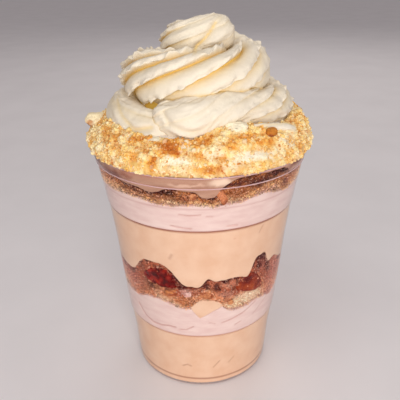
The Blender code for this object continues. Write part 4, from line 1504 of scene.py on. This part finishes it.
def add_stage():
    """A plain pale floor, a soft surround and three soft lights, all close to white."""
    world = bpy.data.worlds.new("surround")
    world.use_nodes = True
    surround = world.node_tree.nodes["Background"].inputs
    surround["Color"].default_value = (1.0, 0.93, 0.94, 1.0)
    surround["Strength"].default_value = 0.33
    bpy.context.scene.world = world
    made = Finish("pale_floor_finish", Roughness=0.7)
    pale = ((0.3, linear(232, 228, 230)), (0.7, linear(237, 233, 235)))
    made.set("Base Color", made.ramp(made.noise(60.0), *pale))
    mesh = bpy.data.meshes.new("floor")
    corners = [(x * FLOOR_REACH, y * FLOOR_REACH, 0)
               for x, y in ((-1, -1), (1, -1), (1, 1), (-1, 1))]
    mesh.from_pydata(corners, [], [(0, 1, 2, 3)])
    mesh.materials.append(made.material)
    put("floor", mesh)
    for light in LIGHTS:
        add_light(*light)


# ---- Making everything ----
plastic = plastic_finish()
pudding = pudding_finish()
pressed_cream = layered_cream_finish()
crumb = crumb_finish("dry_crumb_finish", 0.72, 0.15, 0.3, IOR=1.35)
soaked = crumb_finish("soaked_crumb_finish", 0.45, 0.1, 0.9, IOR=1.18)
swirl_cream = cream_finish("whipped_cream_finish", linear(235, 223, 206), linear(237, 225, 196),
                           linear(224, 186, 88))
jam = jam_finish("red_jam_finish", linear(64, 0, 0), linear(118, 6, 0), linear(162, 36, 12), 2.4)
caramel = jam_finish("caramel_finish", linear(88, 8, 0), linear(132, 38, 6),
                     linear(164, 70, 20), 5.0)
lip_highlight_plastic = lip_highlight_finish()

make_cup(plastic)
make_lip_rings(lip_highlight_plastic)

pudding_foot, lower_step, upper_step = (
    np.full(COLUMNS, height) for height in (PUDDING_FOOT, LOWER_STEP, UPPER_STEP))
crumb_low, crumb_high, upper_low = (edge(BEARINGS) for edge in (*LOWER_BOUNDS, UPPER_BOUNDS[0]))
# The heights given last are lines of painted shade at the cup's foot and steps: height, width and
# darkness
make_layer("pudding_lower_fill", pudding_foot, lower_step, pudding, "vanilla_pudding",
           "pudding_lower", LOWER_PUDDING_MARKS, 1, ((4.5, 0.5, 0.8),))
make_layer("pudding_middle_fill", crumb_high, upper_step, pudding, "vanilla_pudding",
           "pudding_middle", MIDDLE_PUDDING_MARKS, 3, ((88.6, 0.5, 0.5),))
make_layer("cream_middle_fill", upper_step, upper_low, pressed_cream, "whipped_cream",
           "cream_middle", MIDDLE_CREAM_MARKS, 4, ((89.0, 0.5, 0.6), (99.9, 0.35, 0.5)))
make_crumb_bed("crumb_lower_bed", LOWER_BOUNDS, soaked, "crumb_lower", 21, lower_tones,
               (0.76, 0.64, 0.58))
make_crumb_bed("crumb_upper_bed", UPPER_BOUNDS, soaked, "crumb_upper", 31, upper_tones,
               (0.5, 0.36, 0.3))
make_layer("cream_lower_fill", lower_step, crumb_low, pressed_cream, "whipped_cream",
           "cream_lower", LOWER_CREAM_MARKS, 2, ((32.2, 0.5, 0.6),), hollow(DOLLOP_FOOT, 1.6))
make_pocket("pudding_dollop", DOLLOP_FOOT[[0, -1], 0], read(DOLLOP_FOOT),
            edge_of(CRUMB_LOWER_BOTTOM, 11, 0.5, 0.8), 0.6, lambda p: 0.1 * rough(p, 4.0, 5),
            pudding, "vanilla_pudding", "pudding_pocket",
            {"line": lambda p: np.zeros(p.shape[:-1])})
make_pocket("jam_pool", JAM_TOP[[0, -1], 0], ragged(JAM_FOOT, 3, 0.7), ragged(JAM_TOP, 4, 0.7),
            1.2, lambda p: 0.25 + 0.25 * rough(p, 2.6, 6), jam, "red_jam", "jam_pocket")
make_pocket("caramel_pool", CARAMEL_TOP[[0, -1], 0], ragged(CARAMEL_FOOT, 5),
            ragged(CARAMEL_TOP, 6), 1.2, lambda p: 0.12 + 0.15 * rough(p, 5.0, 7), caramel,
            "caramel", "caramel_pocket")
make_wall_crumbs(soaked)
make_chunks("biscuit_chunks", CHUNKS, soaked, "soaked_crumbs", 51)

make_mound(mound_finish())
make_coat_bed(crumb)
make_coat_crumbs(crumb)
make_lump("cookie_piece", np.array((-45.4, -3.0, 124.6)), (4.3, 4.1, 2.9), 10.0,
          linear(196, 120, 52), linear(252, 236, 196), crumb, "cookie_crumbs", 61, ("cookie_lump",))
make_lump("amber_piece", around(43.3, 127.2, 40.0), (2.2, 1.8, 1.7), 40.0, linear(140, 64, 14),
          linear(206, 130, 44), crumb, "cookie_crumbs", 62, lumpy=0.12, square=0.7)

first_path = make_rope("swirl_first_turn", FIRST_TURN, -52.0, 0.35, 4, ((118, 240), (0.07, 0.07)),
                       ((118, 240), (0.5, 0.5)), swirl_cream, (), FIRST_STROKES)
make_rope("cream_ribbon", RIBBON_TURN, 20.0, 4.0, 3, ((301, 327), (0.1, 0.1)),
          ((301, 327), (0.2, 0.2)), swirl_cream)
make_lump("cream_dab", around(37.0, 129.0, 22.0), (4.6, 2.6, 2.8), 0.0, linear(240, 216, 160),
          linear(252, 242, 214), crumb, "whipped_cream", 63, lumpy=0.3, square=0.9)
make_rope("swirl_main_turns", MAIN_TURNS, 36.5, TWIST_PER_MM, STAR_POINTS, MAIN_DEPTHS, MAIN_SMEARS,
          swirl_cream, (first_path,), MAIN_STROKES, ("piped_swirl",))
make_core(swirl_cream)

add_camera()
add_stage()
bpy.context.scene.view_settings.view_transform = "Standard"
